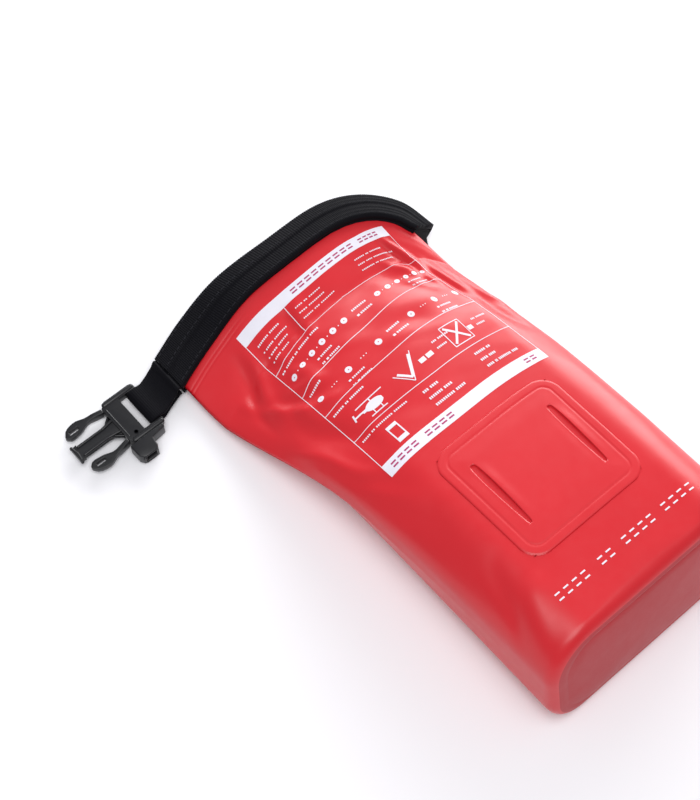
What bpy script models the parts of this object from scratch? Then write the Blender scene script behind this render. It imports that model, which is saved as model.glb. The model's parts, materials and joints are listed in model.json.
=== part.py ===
"""A small roll-top first-aid pouch of coated fabric, lying on its back.

Units are metres, +Z is up.  +Y runs from the base of the pouch to its mouth and
+X is to the right for someone who looks from the base to the mouth.  The origin
lies on the flat underside, below the crease between the front and the base.
"""
import bmesh
import bpy
import numpy as np
from mathutils import Matrix, Vector

MM = 0.001
GAP = 0.3 * MM                      # clearance between pieces that touch

# Pouch
POUCH_DEPTH = 60 * MM               # filled thickness at the base
HALF_WIDTH_LEFT = 59.5 * MM
HALF_WIDTH_RIGHT = 61 * MM
BODY_LENGTH = 236 * MM              # base crease to the highest point of the mouth
FABRIC = 0.8 * MM
FRONT_CORNER = 24 * MM              # radius of the long front edges
BACK_CORNER = 18 * MM
SIDE_HEIGHT = 30 * MM               # height of the side folds above the underside
BASE_SLANT = 12 * MM                # how far the base's lower edge sticks out
TAPER_START = 0.47                  # share of the length where the underside lifts
RING_COUNT = 19
HALF_RING_POINTS = 18

# Base panel and seam tape
PANEL_FLANGE = 8 * MM
PANEL_SETBACK = 0.6 * MM
TAPE_WIDTH = 18 * MM
TAPE_THICKNESS = 0.4 * MM
TAPE_END_MARGIN = 10 * MM           # distance from the flange and from the taper

# Belt patch on the front
PATCH_SIDE = 68 * MM
PATCH_CENTRE_Y = 70 * MM
PATCH_CORNER = 10 * MM
PATCH_THICKNESS = 1 * MM
PATCH_CELL = 10 * MM
SLIT_LENGTH = 38 * MM
SLIT_WIDTH = 2 * MM
SLIT_SPACING = 44 * MM

# Rolled mouth
BAND_WIDTH = 20 * MM
WEBBING = 1.3 * MM
ROLL_FABRIC = 0.6 * MM
ROLL_DEPTH = 7.5 * MM
ROLL_TURN_GAP = 0.4 * MM
ROLL_EDGE_MARGIN = 2 * MM
STIFFENER_WIDTH = 12 * MM
STIFFENER_THICKNESS = 0.5 * MM
NECK_GAP_END = 0.4 * MM
NECK_GAP_MIDDLE = 3.6 * MM
NECK_HALF_OPENING = 2.3 * MM
BAND_STATIONS = 21
# The two edges of the band's upper face, left to right, from the end of the body.
BAND_INNER_EDGE = [
    (-77.5, -13.5, 8.6), (-54, -5, 12), (-27, 1, 19), (2, 1.5, 23.5),
    (30, -1, 25.5), (46, -8, 26.5), (55, -17, 26), (59.3, -26, 25),
]
BAND_OUTER_EDGE = [
    (-77.7, 7, 8.4), (-56, 14, 10.8), (-30, 19, 15), (2, 19.5, 17),
    (32, 20, 17.5), (52, 12.5, 16.8), (67, -4, 14.3), (71.8, -24, 10.5),
]

# Webbing tabs and the side-release buckle
TAB_ROOT_RADIUS = 1.5 * MM
TAB_ROOT_BACK = 1.1 * MM           # from the fold back to the tab's sewn end
LEFT_TAB_LENGTH = 17 * MM
LEFT_TAB_SKEW = 4.1 * MM           # how far the buckle hangs towards the base
RIGHT_TAB_LENGTH = 18 * MM
RIGHT_TAB_REACH = 11 * MM          # from the end of the band to the tab's fold
FEMALE_HEADING = Vector((-0.9, -0.43, 0.0))
BAR_RADIUS = 1.6 * MM
TAB_RIDGE = 1.2 * MM
BUCKLE_THICKNESS = 7 * MM
RAIL_WIDTH = 3.2 * MM
STRAP_PLAY = 0.6 * MM
BUCKLE_WIDTH = BAND_WIDTH + STRAP_PLAY + 2 * RAIL_WIDTH
PLATE_END = 16.6 * MM
PLATE_THICKNESS = 4.4 * MM
SLOT_START = 4.4 * MM
TONGUE_END = 40 * MM
TONGUE_WIDTH = 6 * MM
TONGUE_BARB = 1.3 * MM
TONGUE_THICKNESS = 2.4 * MM
PRONG_WIDTH = 2.4 * MM
PRONG_THICKNESS = 4.8 * MM
PRONG_END = 38.3 * MM
PRONG_ROOT_V = 10 * MM
PRONG_BOW = 1.5 * MM
PADDLE_HALF_WIDTH = 3.1 * MM
PADDLE_START = 26 * MM
EYE_LENGTH = 5 * MM
WHISTLE_WIDTH = 10.5 * MM
WHISTLE_REACH = 9.5 * MM
WHISTLE_START = 8 * MM
SOCKET_LENGTH = 27 * MM
SOCKET_HEIGHT = 9 * MM
SOCKET_WALL = 1.8 * MM
BUCKLE_LIFT = 0.4 * MM              # lowest point of the buckle above the ground

# Kit inside
PACK_FLOOR_GAP = 0.35 * MM
BLANKET_PACK = (82 * MM, 82 * MM, 13 * MM)
BANDAGE_PACK = (78 * MM, 40 * MM, 12 * MM)
GAUZE_RADIUS = 15.5 * MM
GAUZE_LENGTH = 50 * MM
GAUZE_ROW_Y = (29 * MM, 62 * MM)
DRESSING_PACK = (50 * MM, 14 * MM, 30 * MM)
LEAFLET = (90 * MM, 66 * MM, 1.2 * MM)

RED = (0.72, 0.045, 0.055)
BLACK = (0.012, 0.011, 0.014)


def make_material(name, colour, roughness, metallic=0.0):
    material = bpy.data.materials.new(name)
    material.use_nodes = True
    shader = material.node_tree.nodes["Principled BSDF"]
    shader.inputs["Base Color"].default_value = (*colour, 1.0)
    shader.inputs["Roughness"].default_value = roughness
    shader.inputs["Metallic"].default_value = metallic
    return material


def add_object(name, bm, material, matrix=Matrix.Identity(4), smooth_angle=35):
    """Make one closed solid from a bmesh, placed by its matrix."""
    bmesh.ops.remove_doubles(bm, verts=bm.verts, dist=1e-7)
    bmesh.ops.recalc_face_normals(bm, faces=bm.faces)
    mesh = bpy.data.meshes.new(name)
    bm.to_mesh(mesh)
    bm.free()
    mesh.materials.append(material)
    mesh.shade_smooth()
    mesh.set_sharp_from_angle(angle=np.radians(smooth_angle))
    placed = bpy.data.objects.new(name, mesh)
    bpy.context.scene.collection.objects.link(placed)
    placed.matrix_world = matrix
    return placed


def cut(target, cutters):
    """Subtract helper solids from a finished one and drop the helpers."""
    for cutter in cutters:
        cutter.hide_render = True
        cutter.display_type = "WIRE"
        modifier = target.modifiers.new("cut", "BOOLEAN")
        modifier.operation = "DIFFERENCE"
        modifier.solver = "EXACT"
        modifier.object = cutter
    return target


def smoothstep(low, high, value):
    share = min(1.0, max(0.0, (value - low) / (high - low)))
    return share * share * (3.0 - 2.0 * share)


def spline(points, share):
    """A smooth curve through the points, at a share of 0 to 1 of its spans."""
    points = [Vector(p) for p in points]
    place = share * (len(points) - 1)
    index = min(int(place), len(points) - 2)
    t = place - index
    p1, p2 = points[index], points[index + 1]
    p0 = points[index - 1] if index > 0 else 2 * p1 - p2
    p3 = points[index + 2] if index + 2 < len(points) else 2 * p2 - p1
    a = 2 * p1
    b = p2 - p0
    c = 2 * p0 - 5 * p1 + 4 * p2 - p3
    d = 3 * p1 - p0 - 3 * p2 + p3
    return 0.5 * (a + b * t + c * t * t + d * t * t * t)


def band_frame(share):
    """Origin and the along, across and up directions of the band's upper face."""
    inner = spline(BAND_INNER_EDGE, share) * MM
    outer = spline(BAND_OUTER_EDGE, share) * MM
    step = 0.01
    low, high = max(0.0, share - step), min(1.0, share + step)
    before = spline(BAND_INNER_EDGE, low) + spline(BAND_OUTER_EDGE, low)
    after = spline(BAND_INNER_EDGE, high) + spline(BAND_OUTER_EDGE, high)
    along = (after - before).normalized()
    across = (outer - inner).normalized()
    up = along.cross(across).normalized()
    centre = (inner + outer) / 2 + Vector((0, BODY_LENGTH, 0))
    return centre, across.cross(up), across, up


def band_point(share, across_by, up_by):
    centre, _, across, up = band_frame(share)
    return centre + across * across_by + up * up_by


# ---- the pouch's surface -------------------------------------------------


def filled_half(share, front, inset):
    """Half of the filled cross-section, from the left fold to the right one."""
    radius = (FRONT_CORNER if front else BACK_CORNER) - inset
    left = HALF_WIDTH_LEFT - inset
    right = HALF_WIDTH_RIGHT - inset
    rise = (POUCH_DEPTH - SIDE_HEIGHT if front else SIDE_HEIGHT) - inset
    side = rise - radius
    arc = np.pi * radius / 2
    flat = left + right - 2 * radius
    run = share * (2 * side + 2 * arc + flat)
    if run < side:
        x, z = -left, run
    elif run < side + arc:
        angle = (run - side) / radius
        x, z = -left + radius * (1 - np.cos(angle)), side + radius * np.sin(angle)
    elif run < side + arc + flat:
        x, z = -left + radius + run - side - arc, rise
    elif run < side + 2 * arc + flat:
        angle = (run - side - arc - flat) / radius
        x, z = right - radius * (1 - np.sin(angle)), side + radius * np.cos(angle)
    else:
        x, z = right, side - (run - side - 2 * arc - flat)
    return x, SIDE_HEIGHT + (z if front else -z)


def mouth_point(share, front, inset):
    """The neck's end, just short of the rolled band."""
    bow = 4 * share * (1 - share)
    back_off = NECK_GAP_END + (NECK_GAP_MIDDLE - NECK_GAP_END) * bow
    opening = (NECK_HALF_OPENING - inset) * np.sqrt(1 - abs(2 * share - 1) ** 6)
    middle = -ROLL_DEPTH / 2
    depth = middle + (opening if front else -opening)
    narrowed = 0.008 + (1 - 0.016) * share
    centre, along, _, _ = band_frame(narrowed)
    edge = band_point(narrowed, -BAND_WIDTH / 2 - back_off, depth)
    return edge + along * inset * (1 - 2 * share)


def pouch_point(share, front, y, inset=0.0):
    """A point of the pouch's wall; inset moves it in from the outer face."""
    lift_front = min(1.0, y / (0.87 * BODY_LENGTH)) ** 1.8
    lift_back = smoothstep(TAPER_START * BODY_LENGTH, 0.95 * BODY_LENGTH, y)
    lift_side = (lift_front + lift_back) / 2
    edge = abs(2 * share - 1)
    sideways = smoothstep(0.6, 1.0, edge)
    lift = (lift_front if front else lift_back) * (1 - sideways) + lift_side * sideways
    lift = max(lift, smoothstep(0.93 * BODY_LENGTH, BODY_LENGTH, y))
    x, z = filled_half(share, front, inset)
    slant = BASE_SLANT * max(0.0, 1 - y / (0.25 * BODY_LENGTH)) * (1 - z / POUCH_DEPTH)
    filled = Vector((x, y - slant, z))
    mouth = mouth_point(share, front, inset) - Vector((0, BODY_LENGTH - y, 0))
    return filled.lerp(mouth, lift)


def ring(bm, y, inset):
    """One closed ring of the wall: along the front, then back along the back."""
    points = []
    for index in range(HALF_RING_POINTS):
        points.append(pouch_point(index / HALF_RING_POINTS, True, y, inset))
    for index in range(HALF_RING_POINTS):
        points.append(pouch_point(1 - index / HALF_RING_POINTS, False, y, inset))
    return [bm.verts.new(point) for point in points]


def bridge(bm, ring_a, ring_b):
    count = len(ring_a)
    for index in range(count):
        after = (index + 1) % count
        bm.faces.new((ring_a[index], ring_a[after], ring_b[after], ring_b[index]))


def join_rings(bm, rings, closed):
    for first, second in zip(rings, rings[1:]):
        bridge(bm, first, second)
    if closed:
        bridge(bm, rings[-1], rings[0])
    else:
        bm.faces.new(rings[0])
        bm.faces.new(rings[-1])


def ring_stations():
    return [BODY_LENGTH * index / (RING_COUNT - 1) for index in range(RING_COUNT)]


def build_pouch(fabric, panel_material, tape_material, patch_material):
    bm = bmesh.new()
    outer = [ring(bm, y, 0.0) for y in ring_stations()]
    inner = [ring(bm, y, FABRIC) for y in ring_stations()]
    join_rings(bm, outer + inner[::-1], closed=True)
    add_object("bag_shell", bm, fabric)

    bm = bmesh.new()
    face = FABRIC + GAP
    rings = [
        ring(bm, PANEL_SETBACK, face),
        ring(bm, PANEL_FLANGE, face),
        ring(bm, PANEL_FLANGE, face + FABRIC),
        ring(bm, PANEL_SETBACK + FABRIC, face + FABRIC),
    ]
    join_rings(bm, rings, closed=False)
    add_object("base_panel", bm, panel_material)

    bm = bmesh.new()
    low = FABRIC + GAP
    first = PANEL_FLANGE + TAPE_END_MARGIN
    last = TAPER_START * BODY_LENGTH - TAPE_END_MARGIN
    place = (0, (first + last) / 2, low + TAPE_THICKNESS / 2)
    add_box(bm, place, (TAPE_WIDTH, last - first, TAPE_THICKNESS))
    add_object("seam_tape", bm, tape_material)
    build_patch(patch_material)


def add_box(bm, centre, size):
    result = bmesh.ops.create_cube(bm, size=1.0)
    bmesh.ops.scale(bm, vec=size, verts=result["verts"])
    bmesh.ops.translate(bm, vec=centre, verts=result["verts"])
    return result["verts"]


def rounded_outline(width, length, radius, steps):
    """A rounded rectangle around the origin, anticlockwise."""
    points = []
    for corner in range(4):
        sign_x = 1 if corner in (0, 3) else -1
        sign_y = 1 if corner in (0, 1) else -1
        centre = ((width / 2 - radius) * sign_x, (length / 2 - radius) * sign_y)
        for step in range(steps + 1):
            angle = np.pi / 2 * (corner + step / steps)
            points.append((centre[0] + radius * np.cos(angle), centre[1] + radius * np.sin(angle)))
    return points


def front_at(x, y, inset):
    """The front face of the pouch above a place on its middle width."""
    low, high = 0.0, 1.0
    for _ in range(30):
        middle = (low + high) / 2
        if pouch_point(middle, True, y, inset).x < x:
            low = middle
        else:
            high = middle
    return pouch_point(low, True, y, inset)


def build_patch(material):
    """The square belt patch: a sheet that follows the front, with two slits."""
    bm = bmesh.new()
    loops = [rounded_outline(PATCH_SIDE, PATCH_SIDE, PATCH_CORNER, 5)]
    for side in (-1, 1):
        slit = rounded_outline(SLIT_WIDTH, SLIT_LENGTH, SLIT_WIDTH * 0.45, 2)
        loops.append([(x + side * SLIT_SPACING / 2, y) for x, y in slit])
    edges = []
    for loop in loops:
        verts = [bm.verts.new((x, y, 0)) for x, y in loop]
        for index, vert in enumerate(verts):
            edges.append(bm.edges.new((vert, verts[(index + 1) % len(verts)])))
    bmesh.ops.triangle_fill(bm, use_beauty=True, use_dissolve=False, edges=edges)
    cells = int(np.ceil(PATCH_SIDE / PATCH_CELL))
    lines = [PATCH_SIDE * (index / cells - 0.5) for index in range(1, cells)]
    for place in lines:
        for normal in ((1, 0, 0), (0, 1, 0)):
            geometry = bm.verts[:] + bm.edges[:] + bm.faces[:]
            spot = Vector(normal) * place
            bmesh.ops.bisect_plane(bm, geom=geometry, dist=1e-7, plane_co=spot, plane_no=normal)
    bmesh.ops.recalc_face_normals(bm, faces=bm.faces)
    extruded = bmesh.ops.extrude_face_region(bm, geom=bm.faces[:], use_keep_orig=True)
    upper = {item for item in extruded["geom"] if isinstance(item, bmesh.types.BMVert)}
    for vert in bm.verts:
        height = GAP + (PATCH_THICKNESS if vert in upper else 0.0)
        place = front_at(vert.co.x, vert.co.y + PATCH_CENTRE_Y, 0.0)
        vert.co = place + Vector((0, 0, height))
    add_object("strap_patch", bm, material)


# ---- the rolled mouth ----------------------------------------------------


def sweep_band(bm, outline, start=0.0, end=1.0):
    """Carry a section of (across, up) points along the band."""
    rings = []
    for index in range(BAND_STATIONS):
        share = start + (end - start) * index / (BAND_STATIONS - 1)
        rings.append([bm.verts.new(band_point(share, a, u)) for a, u in outline])
    for first, second in zip(rings, rings[1:]):
        bridge(bm, first, second)
    bm.faces.new(rings[0])
    bm.faces.new(rings[-1])


def strip_outline(width, top, thickness):
    half = width / 2
    return [(-half, top), (half, top), (half, top - thickness), (-half, top - thickness)]


def half_turn(centre, radius, start_angle, end_angle, steps=4):
    points = []
    for step in range(steps + 1):
        angle = np.radians(start_angle + (end_angle - start_angle) * step / steps)
        points.append((centre[0] + radius * np.cos(angle), centre[1] + radius * np.sin(angle)))
    return points


def roll_path():
    """Middle line of the wound fabric: one and a half turns around the stiffener."""
    pitch = ROLL_FABRIC + ROLL_TURN_GAP
    top = -WEBBING - GAP - ROLL_FABRIC / 2
    bottom = -ROLL_DEPTH - top
    reach = BAND_WIDTH / 2 - ROLL_EDGE_MARGIN
    outer_turn = (top - bottom) / 2
    left_turn = (top - (bottom + pitch)) / 2
    inner_turn = outer_turn - pitch
    path = [(-BAND_WIDTH / 2 + ROLL_TURN_GAP, bottom)]
    path += half_turn((reach, (top + bottom) / 2), outer_turn, -90, 90)
    path += half_turn((-reach, top - left_turn), left_turn, 90, 270)
    path += half_turn((reach - pitch, (top + bottom) / 2), inner_turn, -90, 90)
    path.append((-reach + pitch, top - pitch))
    return path


def thicken(path, thickness):
    """Closed outline of a flat strip whose middle line is the path."""
    left, right = [], []
    for index, point in enumerate(path):
        before = path[max(index - 1, 0)]
        after = path[min(index + 1, len(path) - 1)]
        along = Vector((after[0] - before[0], after[1] - before[1])).normalized()
        side = Vector((-along.y, along.x)) * thickness / 2
        left.append((point[0] + side.x, point[1] + side.y))
        right.append((point[0] - side.x, point[1] - side.y))
    return left + right[::-1]


def build_roll(fabric, webbing, plastic):
    bm = bmesh.new()
    sweep_band(bm, thicken(roll_path(), ROLL_FABRIC))
    add_object("mouth_roll", bm, fabric)

    bm = bmesh.new()
    sweep_band(bm, strip_outline(BAND_WIDTH, 0.0, WEBBING))
    add_object("mouth_webbing_front", bm, webbing)

    bm = bmesh.new()
    sweep_band(bm, strip_outline(BAND_WIDTH, -ROLL_DEPTH + WEBBING, WEBBING))
    add_object("mouth_webbing_back", bm, webbing)

    bm = bmesh.new()
    top = -ROLL_DEPTH / 2 + STIFFENER_THICKNESS / 2
    sweep_band(bm, strip_outline(STIFFENER_WIDTH, top, STIFFENER_THICKNESS), 0.02, 0.98)
    add_object("mouth_stiffener", bm, plastic)


# ---- webbing tabs and buckle ---------------------------------------------
# Each is drawn in its own axes: u away from the band, v across, w up, with the
# tab's fold or the buckle's bar at the origin.


def placement(origin, u_axis, w_hint):
    """Matrix that lays the (u, v, w) axes of a piece into the world."""
    u = Vector(u_axis).normalized()
    w = (Vector(w_hint) - u * Vector(w_hint).dot(u)).normalized()
    v = w.cross(u)
    matrix = Matrix((u, v, w)).transposed().to_4x4()
    matrix.translation = origin
    return matrix


def extrude_outline(bm, outline, plane, low, high):
    """Prism of a closed outline; plane says which two axes the outline is in."""
    def place(point, height):
        if plane == "uw":
            return (point[0], height, point[1])
        return (point[0], point[1], height)
    lower = [bm.verts.new(place(point, low)) for point in outline]
    upper = [bm.verts.new(place(point, high)) for point in outline]
    bridge(bm, lower, upper)
    bm.faces.new(lower)
    bm.faces.new(upper)


def tab_path(length):
    """Middle line of the webbing: out to the bar, around it and back."""
    turn = BAR_RADIUS + GAP + WEBBING / 2
    lead = TAB_ROOT_RADIUS - WEBBING / 2
    steps = 7
    upper = []
    for step in range(steps):
        share = step / steps
        rise = lead + (turn - lead) * smoothstep(0.35, 1.0, share)
        upper.append((share * (length + TAB_ROOT_BACK) - TAB_ROOT_BACK, rise))
    lower = [(u, -w) for u, w in reversed(upper)]
    return upper + half_turn((length, 0), turn, 90, -90, 8) + lower


def build_tab(name, matrix, length, webbing, thread, skew=0.0):
    """A webbing loop from its fold at the band to the buckle's bar."""
    outline = thicken(tab_path(length), WEBBING)
    bm = bmesh.new()
    extrude_outline(bm, outline, "uw", -BAND_WIDTH / 2, BAND_WIDTH / 2)
    straight = BAR_RADIUS + GAP + 3 * WEBBING
    for vert in bm.verts:
        vert.co.y += skew * smoothstep(0.0, length - straight, vert.co.x)
    add_object(name + "_webbing", bm, webbing, matrix)

    bm = bmesh.new()
    (first, first_w), (last, last_w) = tab_path(length)[1:3]
    rise = WEBBING / 2 + GAP
    outline = [
        (first, first_w + rise), (last, last_w + rise),
        (last, last_w + rise + TAB_RIDGE), (first, first_w + rise + TAB_RIDGE),
    ]
    extrude_outline(bm, outline, "uw", -BAND_WIDTH * 0.46, BAND_WIDTH * 0.46)
    add_object(name + "_bartack", bm, thread, matrix)


def plate_outline():
    """Outer outline of the buckle's male body in u and v."""
    half = BUCKLE_WIDTH / 2
    rear = -BAR_RADIUS - 1.0 * MM
    shoulder = half - 1.5 * MM
    return [
        (rear, -shoulder), (rear + 2 * MM, -half), (PLATE_END - 3 * MM, -half),
        (PLATE_END, -half + 2.5 * MM), (PLATE_END, half - 2.5 * MM),
        (PLATE_END - 3 * MM, half), (rear + 2 * MM, half), (rear, shoulder),
    ]


def bar_cutters(prefix, matrix, height, plastic):
    """Helpers that free a round strap bar between the side rails."""
    inner = BUCKLE_WIDTH / 2 - RAIL_WIDTH
    cutters = []
    for side in (-1, 1):
        bm = bmesh.new()
        add_box(bm, (0, 0, side * (BAR_RADIUS + height / 2)), (2.2 * BAR_RADIUS, 2 * inner, height))
        cutters.append(add_object("%s_bar_relief_%d" % (prefix, side + 1), bm, plastic, matrix))
    bm = bmesh.new()
    steps = 16
    rings = []
    for radius, v in ((2.0, -inner), (2.0, inner), (1.0, inner), (1.0, -inner)):
        circle = []
        for step in range(steps):
            angle = 2 * np.pi * step / steps
            place = (radius * BAR_RADIUS * np.cos(angle), v, radius * BAR_RADIUS * np.sin(angle))
            circle.append(bm.verts.new(place))
        rings.append(circle)
    join_rings(bm, rings, closed=True)
    cutters.append(add_object(prefix + "_bar_round", bm, plastic, matrix))
    return cutters


def build_male_buckle(matrix, plastic):
    half = BUCKLE_WIDTH / 2
    inner = half - RAIL_WIDTH
    thick = PLATE_THICKNESS
    bm = bmesh.new()
    extrude_outline(bm, plate_outline(), "uv", -thick / 2, thick / 2)
    frame = add_object("male_buckle_frame", bm, plastic, matrix)

    bar_front = BAR_RADIUS
    cutters = []
    windows = [(bar_front, SLOT_START + 3 * MM), (-8 * MM, -bar_front)]
    for index, (low, high) in enumerate(windows):
        bm = bmesh.new()
        add_box(bm, ((low + high) / 2, 0, 0), (high - low, 2 * inner, 2 * thick))
        cutters.append(add_object("window_%d" % index, bm, plastic, matrix))
    cutters += bar_cutters("male", matrix, thick, plastic)
    cut(frame, cutters)

    bm = bmesh.new()
    tip = TONGUE_END
    bar = 3.0 * MM
    narrow = TONGUE_WIDTH / 2
    wide = narrow + TONGUE_BARB
    root = PLATE_END - 1.0 * MM
    outline = [
        (root, -narrow - 2 * MM), (PLATE_END + 2 * MM, -narrow), (tip - bar, -narrow),
        (tip - bar, -wide), (tip, -wide + 0.8 * MM), (tip, wide - 0.8 * MM),
        (tip - bar, wide), (tip - bar, narrow), (PLATE_END + 2 * MM, narrow),
        (root, narrow + 2 * MM),
    ]
    extrude_outline(bm, outline, "uv", -TONGUE_THICKNESS / 2, TONGUE_THICKNESS / 2)
    tongue = add_object("tongue_blank", bm, plastic, matrix)
    tongue.hide_render = True
    tongue.display_type = "WIRE"
    modifier = frame.modifiers.new("tongue", "BOOLEAN")
    modifier.operation = "UNION"
    modifier.solver = "EXACT"
    modifier.object = tongue


def prong_outline(side):
    """A springy arm that bows outwards and ends in an oval paddle."""
    middle, widths = [], []
    steps = 12
    reach = PRONG_END
    for step in range(steps + 1):
        share = step / steps
        u = PLATE_END + GAP + share * (reach - PLATE_END - GAP)
        bow = PRONG_BOW * np.sin(np.pi * share)
        v = PRONG_ROOT_V + bow
        paddle = smoothstep(PADDLE_START - 2 * MM, PADDLE_START + 5 * MM, u)
        tip_share = max(0.0, (share - 0.78) / 0.22)
        rounding = np.sqrt(max(0.0, 1 - tip_share ** 2))
        half = PRONG_WIDTH / 2 + (PADDLE_HALF_WIDTH - PRONG_WIDTH / 2) * paddle
        middle.append((u, v))
        widths.append(max(half * rounding, 0.4 * MM))
    inner = [(u, side * (v - w)) for (u, v), w in zip(middle, widths)]
    outer = [(u, side * (v + w)) for (u, v), w in zip(middle, widths)]
    return inner + outer[::-1]


def build_prongs(matrix, plastic):
    for name, side in (("prong_left", 1), ("prong_right", -1)):
        bm = bmesh.new()
        extrude_outline(bm, prong_outline(side), "uv", -PRONG_THICKNESS / 2, PRONG_THICKNESS / 2)
        prong = add_object(name, bm, plastic, matrix)
        bm = bmesh.new()
        centre = ((PADDLE_START + PRONG_END) / 2 + 1 * MM, side * (PRONG_ROOT_V + 0.6 * MM), 0)
        add_box(bm, centre, (EYE_LENGTH, 1.8 * MM, 2 * PRONG_THICKNESS))
        eye = add_object(name + "_eye", bm, plastic, matrix)
        cut(prong, [eye])


def build_whistle(matrix, plastic):
    """The signal whistle on the buckle's side rail: a hollow mouthpiece."""
    start = BUCKLE_WIDTH / 2 + GAP
    end = start + WHISTLE_REACH
    u0 = WHISTLE_START
    u1 = u0 + WHISTLE_WIDTH
    bm = bmesh.new()
    outline = [
        (u0 - 9 * MM, start), (u1, start), (u1, end - 2.5 * MM), (u1 - 1.5 * MM, end - 0.5 * MM),
        (u1 - 3 * MM, end), (u0 + 1.5 * MM, end), (u0, end - 2 * MM), (u0 - 0.6 * MM, start + 3 * MM),
        (u0 - 8 * MM, start + 2.2 * MM),
    ]
    height = BUCKLE_THICKNESS
    extrude_outline(bm, outline, "uv", -height / 2, height / 2)
    body = add_object("whistle_body", bm, plastic, matrix)
    bm = bmesh.new()
    reach = WHISTLE_REACH * 0.7
    centre = ((u0 + u1) / 2, end - reach / 2 + 1 * MM, 0)
    add_box(bm, centre, (WHISTLE_WIDTH - 3.6 * MM, reach + 2 * MM, height - 2.8 * MM))
    bore = add_object("whistle_bore", bm, plastic, matrix)
    cut(body, [bore])


def build_female_buckle(matrix, plastic):
    """The socket half: an open-ended box with side windows and a strap bar."""
    half = BUCKLE_WIDTH / 2
    inner = half - RAIL_WIDTH
    height = SOCKET_HEIGHT
    socket_start = 7.5 * MM
    end = socket_start + SOCKET_LENGTH
    bm = bmesh.new()
    rear = -BAR_RADIUS - 1.0 * MM
    outline = [
        (rear, -half + 1.5 * MM), (rear + 2 * MM, -half), (end - 2 * MM, -half), (end, -half + 1.5 * MM),
        (end, half - 1.5 * MM), (end - 2 * MM, half), (rear + 2 * MM, half), (rear, half - 1.5 * MM),
    ]
    extrude_outline(bm, outline, "uv", -height / 2, height / 2)
    shell = add_object("female_buckle_shell", bm, plastic, matrix)
    cutters = []
    boxes = {
        "pocket": ((socket_start + SOCKET_WALL + end) / 2 + 1 * MM, SOCKET_LENGTH - SOCKET_WALL + 2 * MM,
                   2 * (half - SOCKET_WALL), height - 2 * SOCKET_WALL),
        "strap_window": ((BAR_RADIUS + socket_start - 2 * MM) / 2, socket_start - 2 * MM - BAR_RADIUS,
                         2 * inner, 2 * height),
        "rear_window": (-4 * MM - BAR_RADIUS, 8 * MM, 2 * inner, 2 * height),
        "side_window": (socket_start + SOCKET_LENGTH * 0.45, SOCKET_LENGTH * 0.5,
                        2 * BUCKLE_WIDTH, height - 2 * SOCKET_WALL),
    }
    for name, (centre, length, width, tall) in boxes.items():
        bm = bmesh.new()
        add_box(bm, (centre, 0, 0), (length, width, tall))
        cutters.append(add_object("socket_" + name, bm, plastic, matrix))
    cutters += bar_cutters("female", matrix, height, plastic)
    cut(shell, cutters)


def left_tab_frame():
    """Fold line of the left tab, just outside the end of the rolled band."""
    centre, _, _, _ = band_frame(0.0)
    lowest = BUCKLE_LIFT + BUCKLE_THICKNESS / 2
    x = centre.x - TAB_ROOT_RADIUS - GAP
    return Vector((x, centre.y, lowest))


def right_tab_frame():
    """The right tab drops under the raised mouth, to a bar just above the ground."""
    _, along, _, _ = band_frame(1.0)
    fold = band_point(1.0, 0.0, -ROLL_DEPTH / 2) + along * RIGHT_TAB_REACH
    drop = fold.z - BUCKLE_LIFT - SOCKET_HEIGHT / 2
    level = np.sqrt(RIGHT_TAB_LENGTH ** 2 - drop ** 2)
    heading = FEMALE_HEADING.normalized() * level - Vector((0, 0, drop))
    return placement(fold, heading, (0, 0, 1))


def build_buckle(webbing, thread, plastic):
    fold = placement(left_tab_frame(), (-1, 0, 0), (0, 0, 1))
    build_tab("male_tab", fold, LEFT_TAB_LENGTH, webbing, thread, LEFT_TAB_SKEW)
    bar = fold @ Vector((LEFT_TAB_LENGTH, LEFT_TAB_SKEW, 0))
    male = placement(bar, (-1, 0, 0), (0, 0, 1))
    build_male_buckle(male, plastic)
    build_prongs(male, plastic)
    build_whistle(male, plastic)

    fold = right_tab_frame()
    build_tab("female_tab", fold, RIGHT_TAB_LENGTH, webbing, thread)
    bar = fold @ Vector((RIGHT_TAB_LENGTH, 0, 0))
    build_female_buckle(placement(bar, FEMALE_HEADING, (0, 0, 1)), plastic)


# ---- the kit inside ------------------------------------------------------


def soft_block(name, centre, size, material, edge=1.5 * MM):
    bm = bmesh.new()
    outline = rounded_outline(size[0], size[1], edge, 3)
    extrude_outline(bm, outline, "uv", -size[2] / 2, size[2] / 2)
    add_object(name, bm, material, Matrix.Translation(centre))


def gauze_roll(name, centre, material):
    bm = bmesh.new()
    bmesh.ops.create_cone(
        bm, cap_ends=True, segments=20, radius1=GAUZE_RADIUS, radius2=GAUZE_RADIUS, depth=GAUZE_LENGTH)
    turn = Matrix.Rotation(np.pi / 2, 4, "Y")
    add_object(name, bm, material, Matrix.Translation(centre) @ turn)


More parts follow.
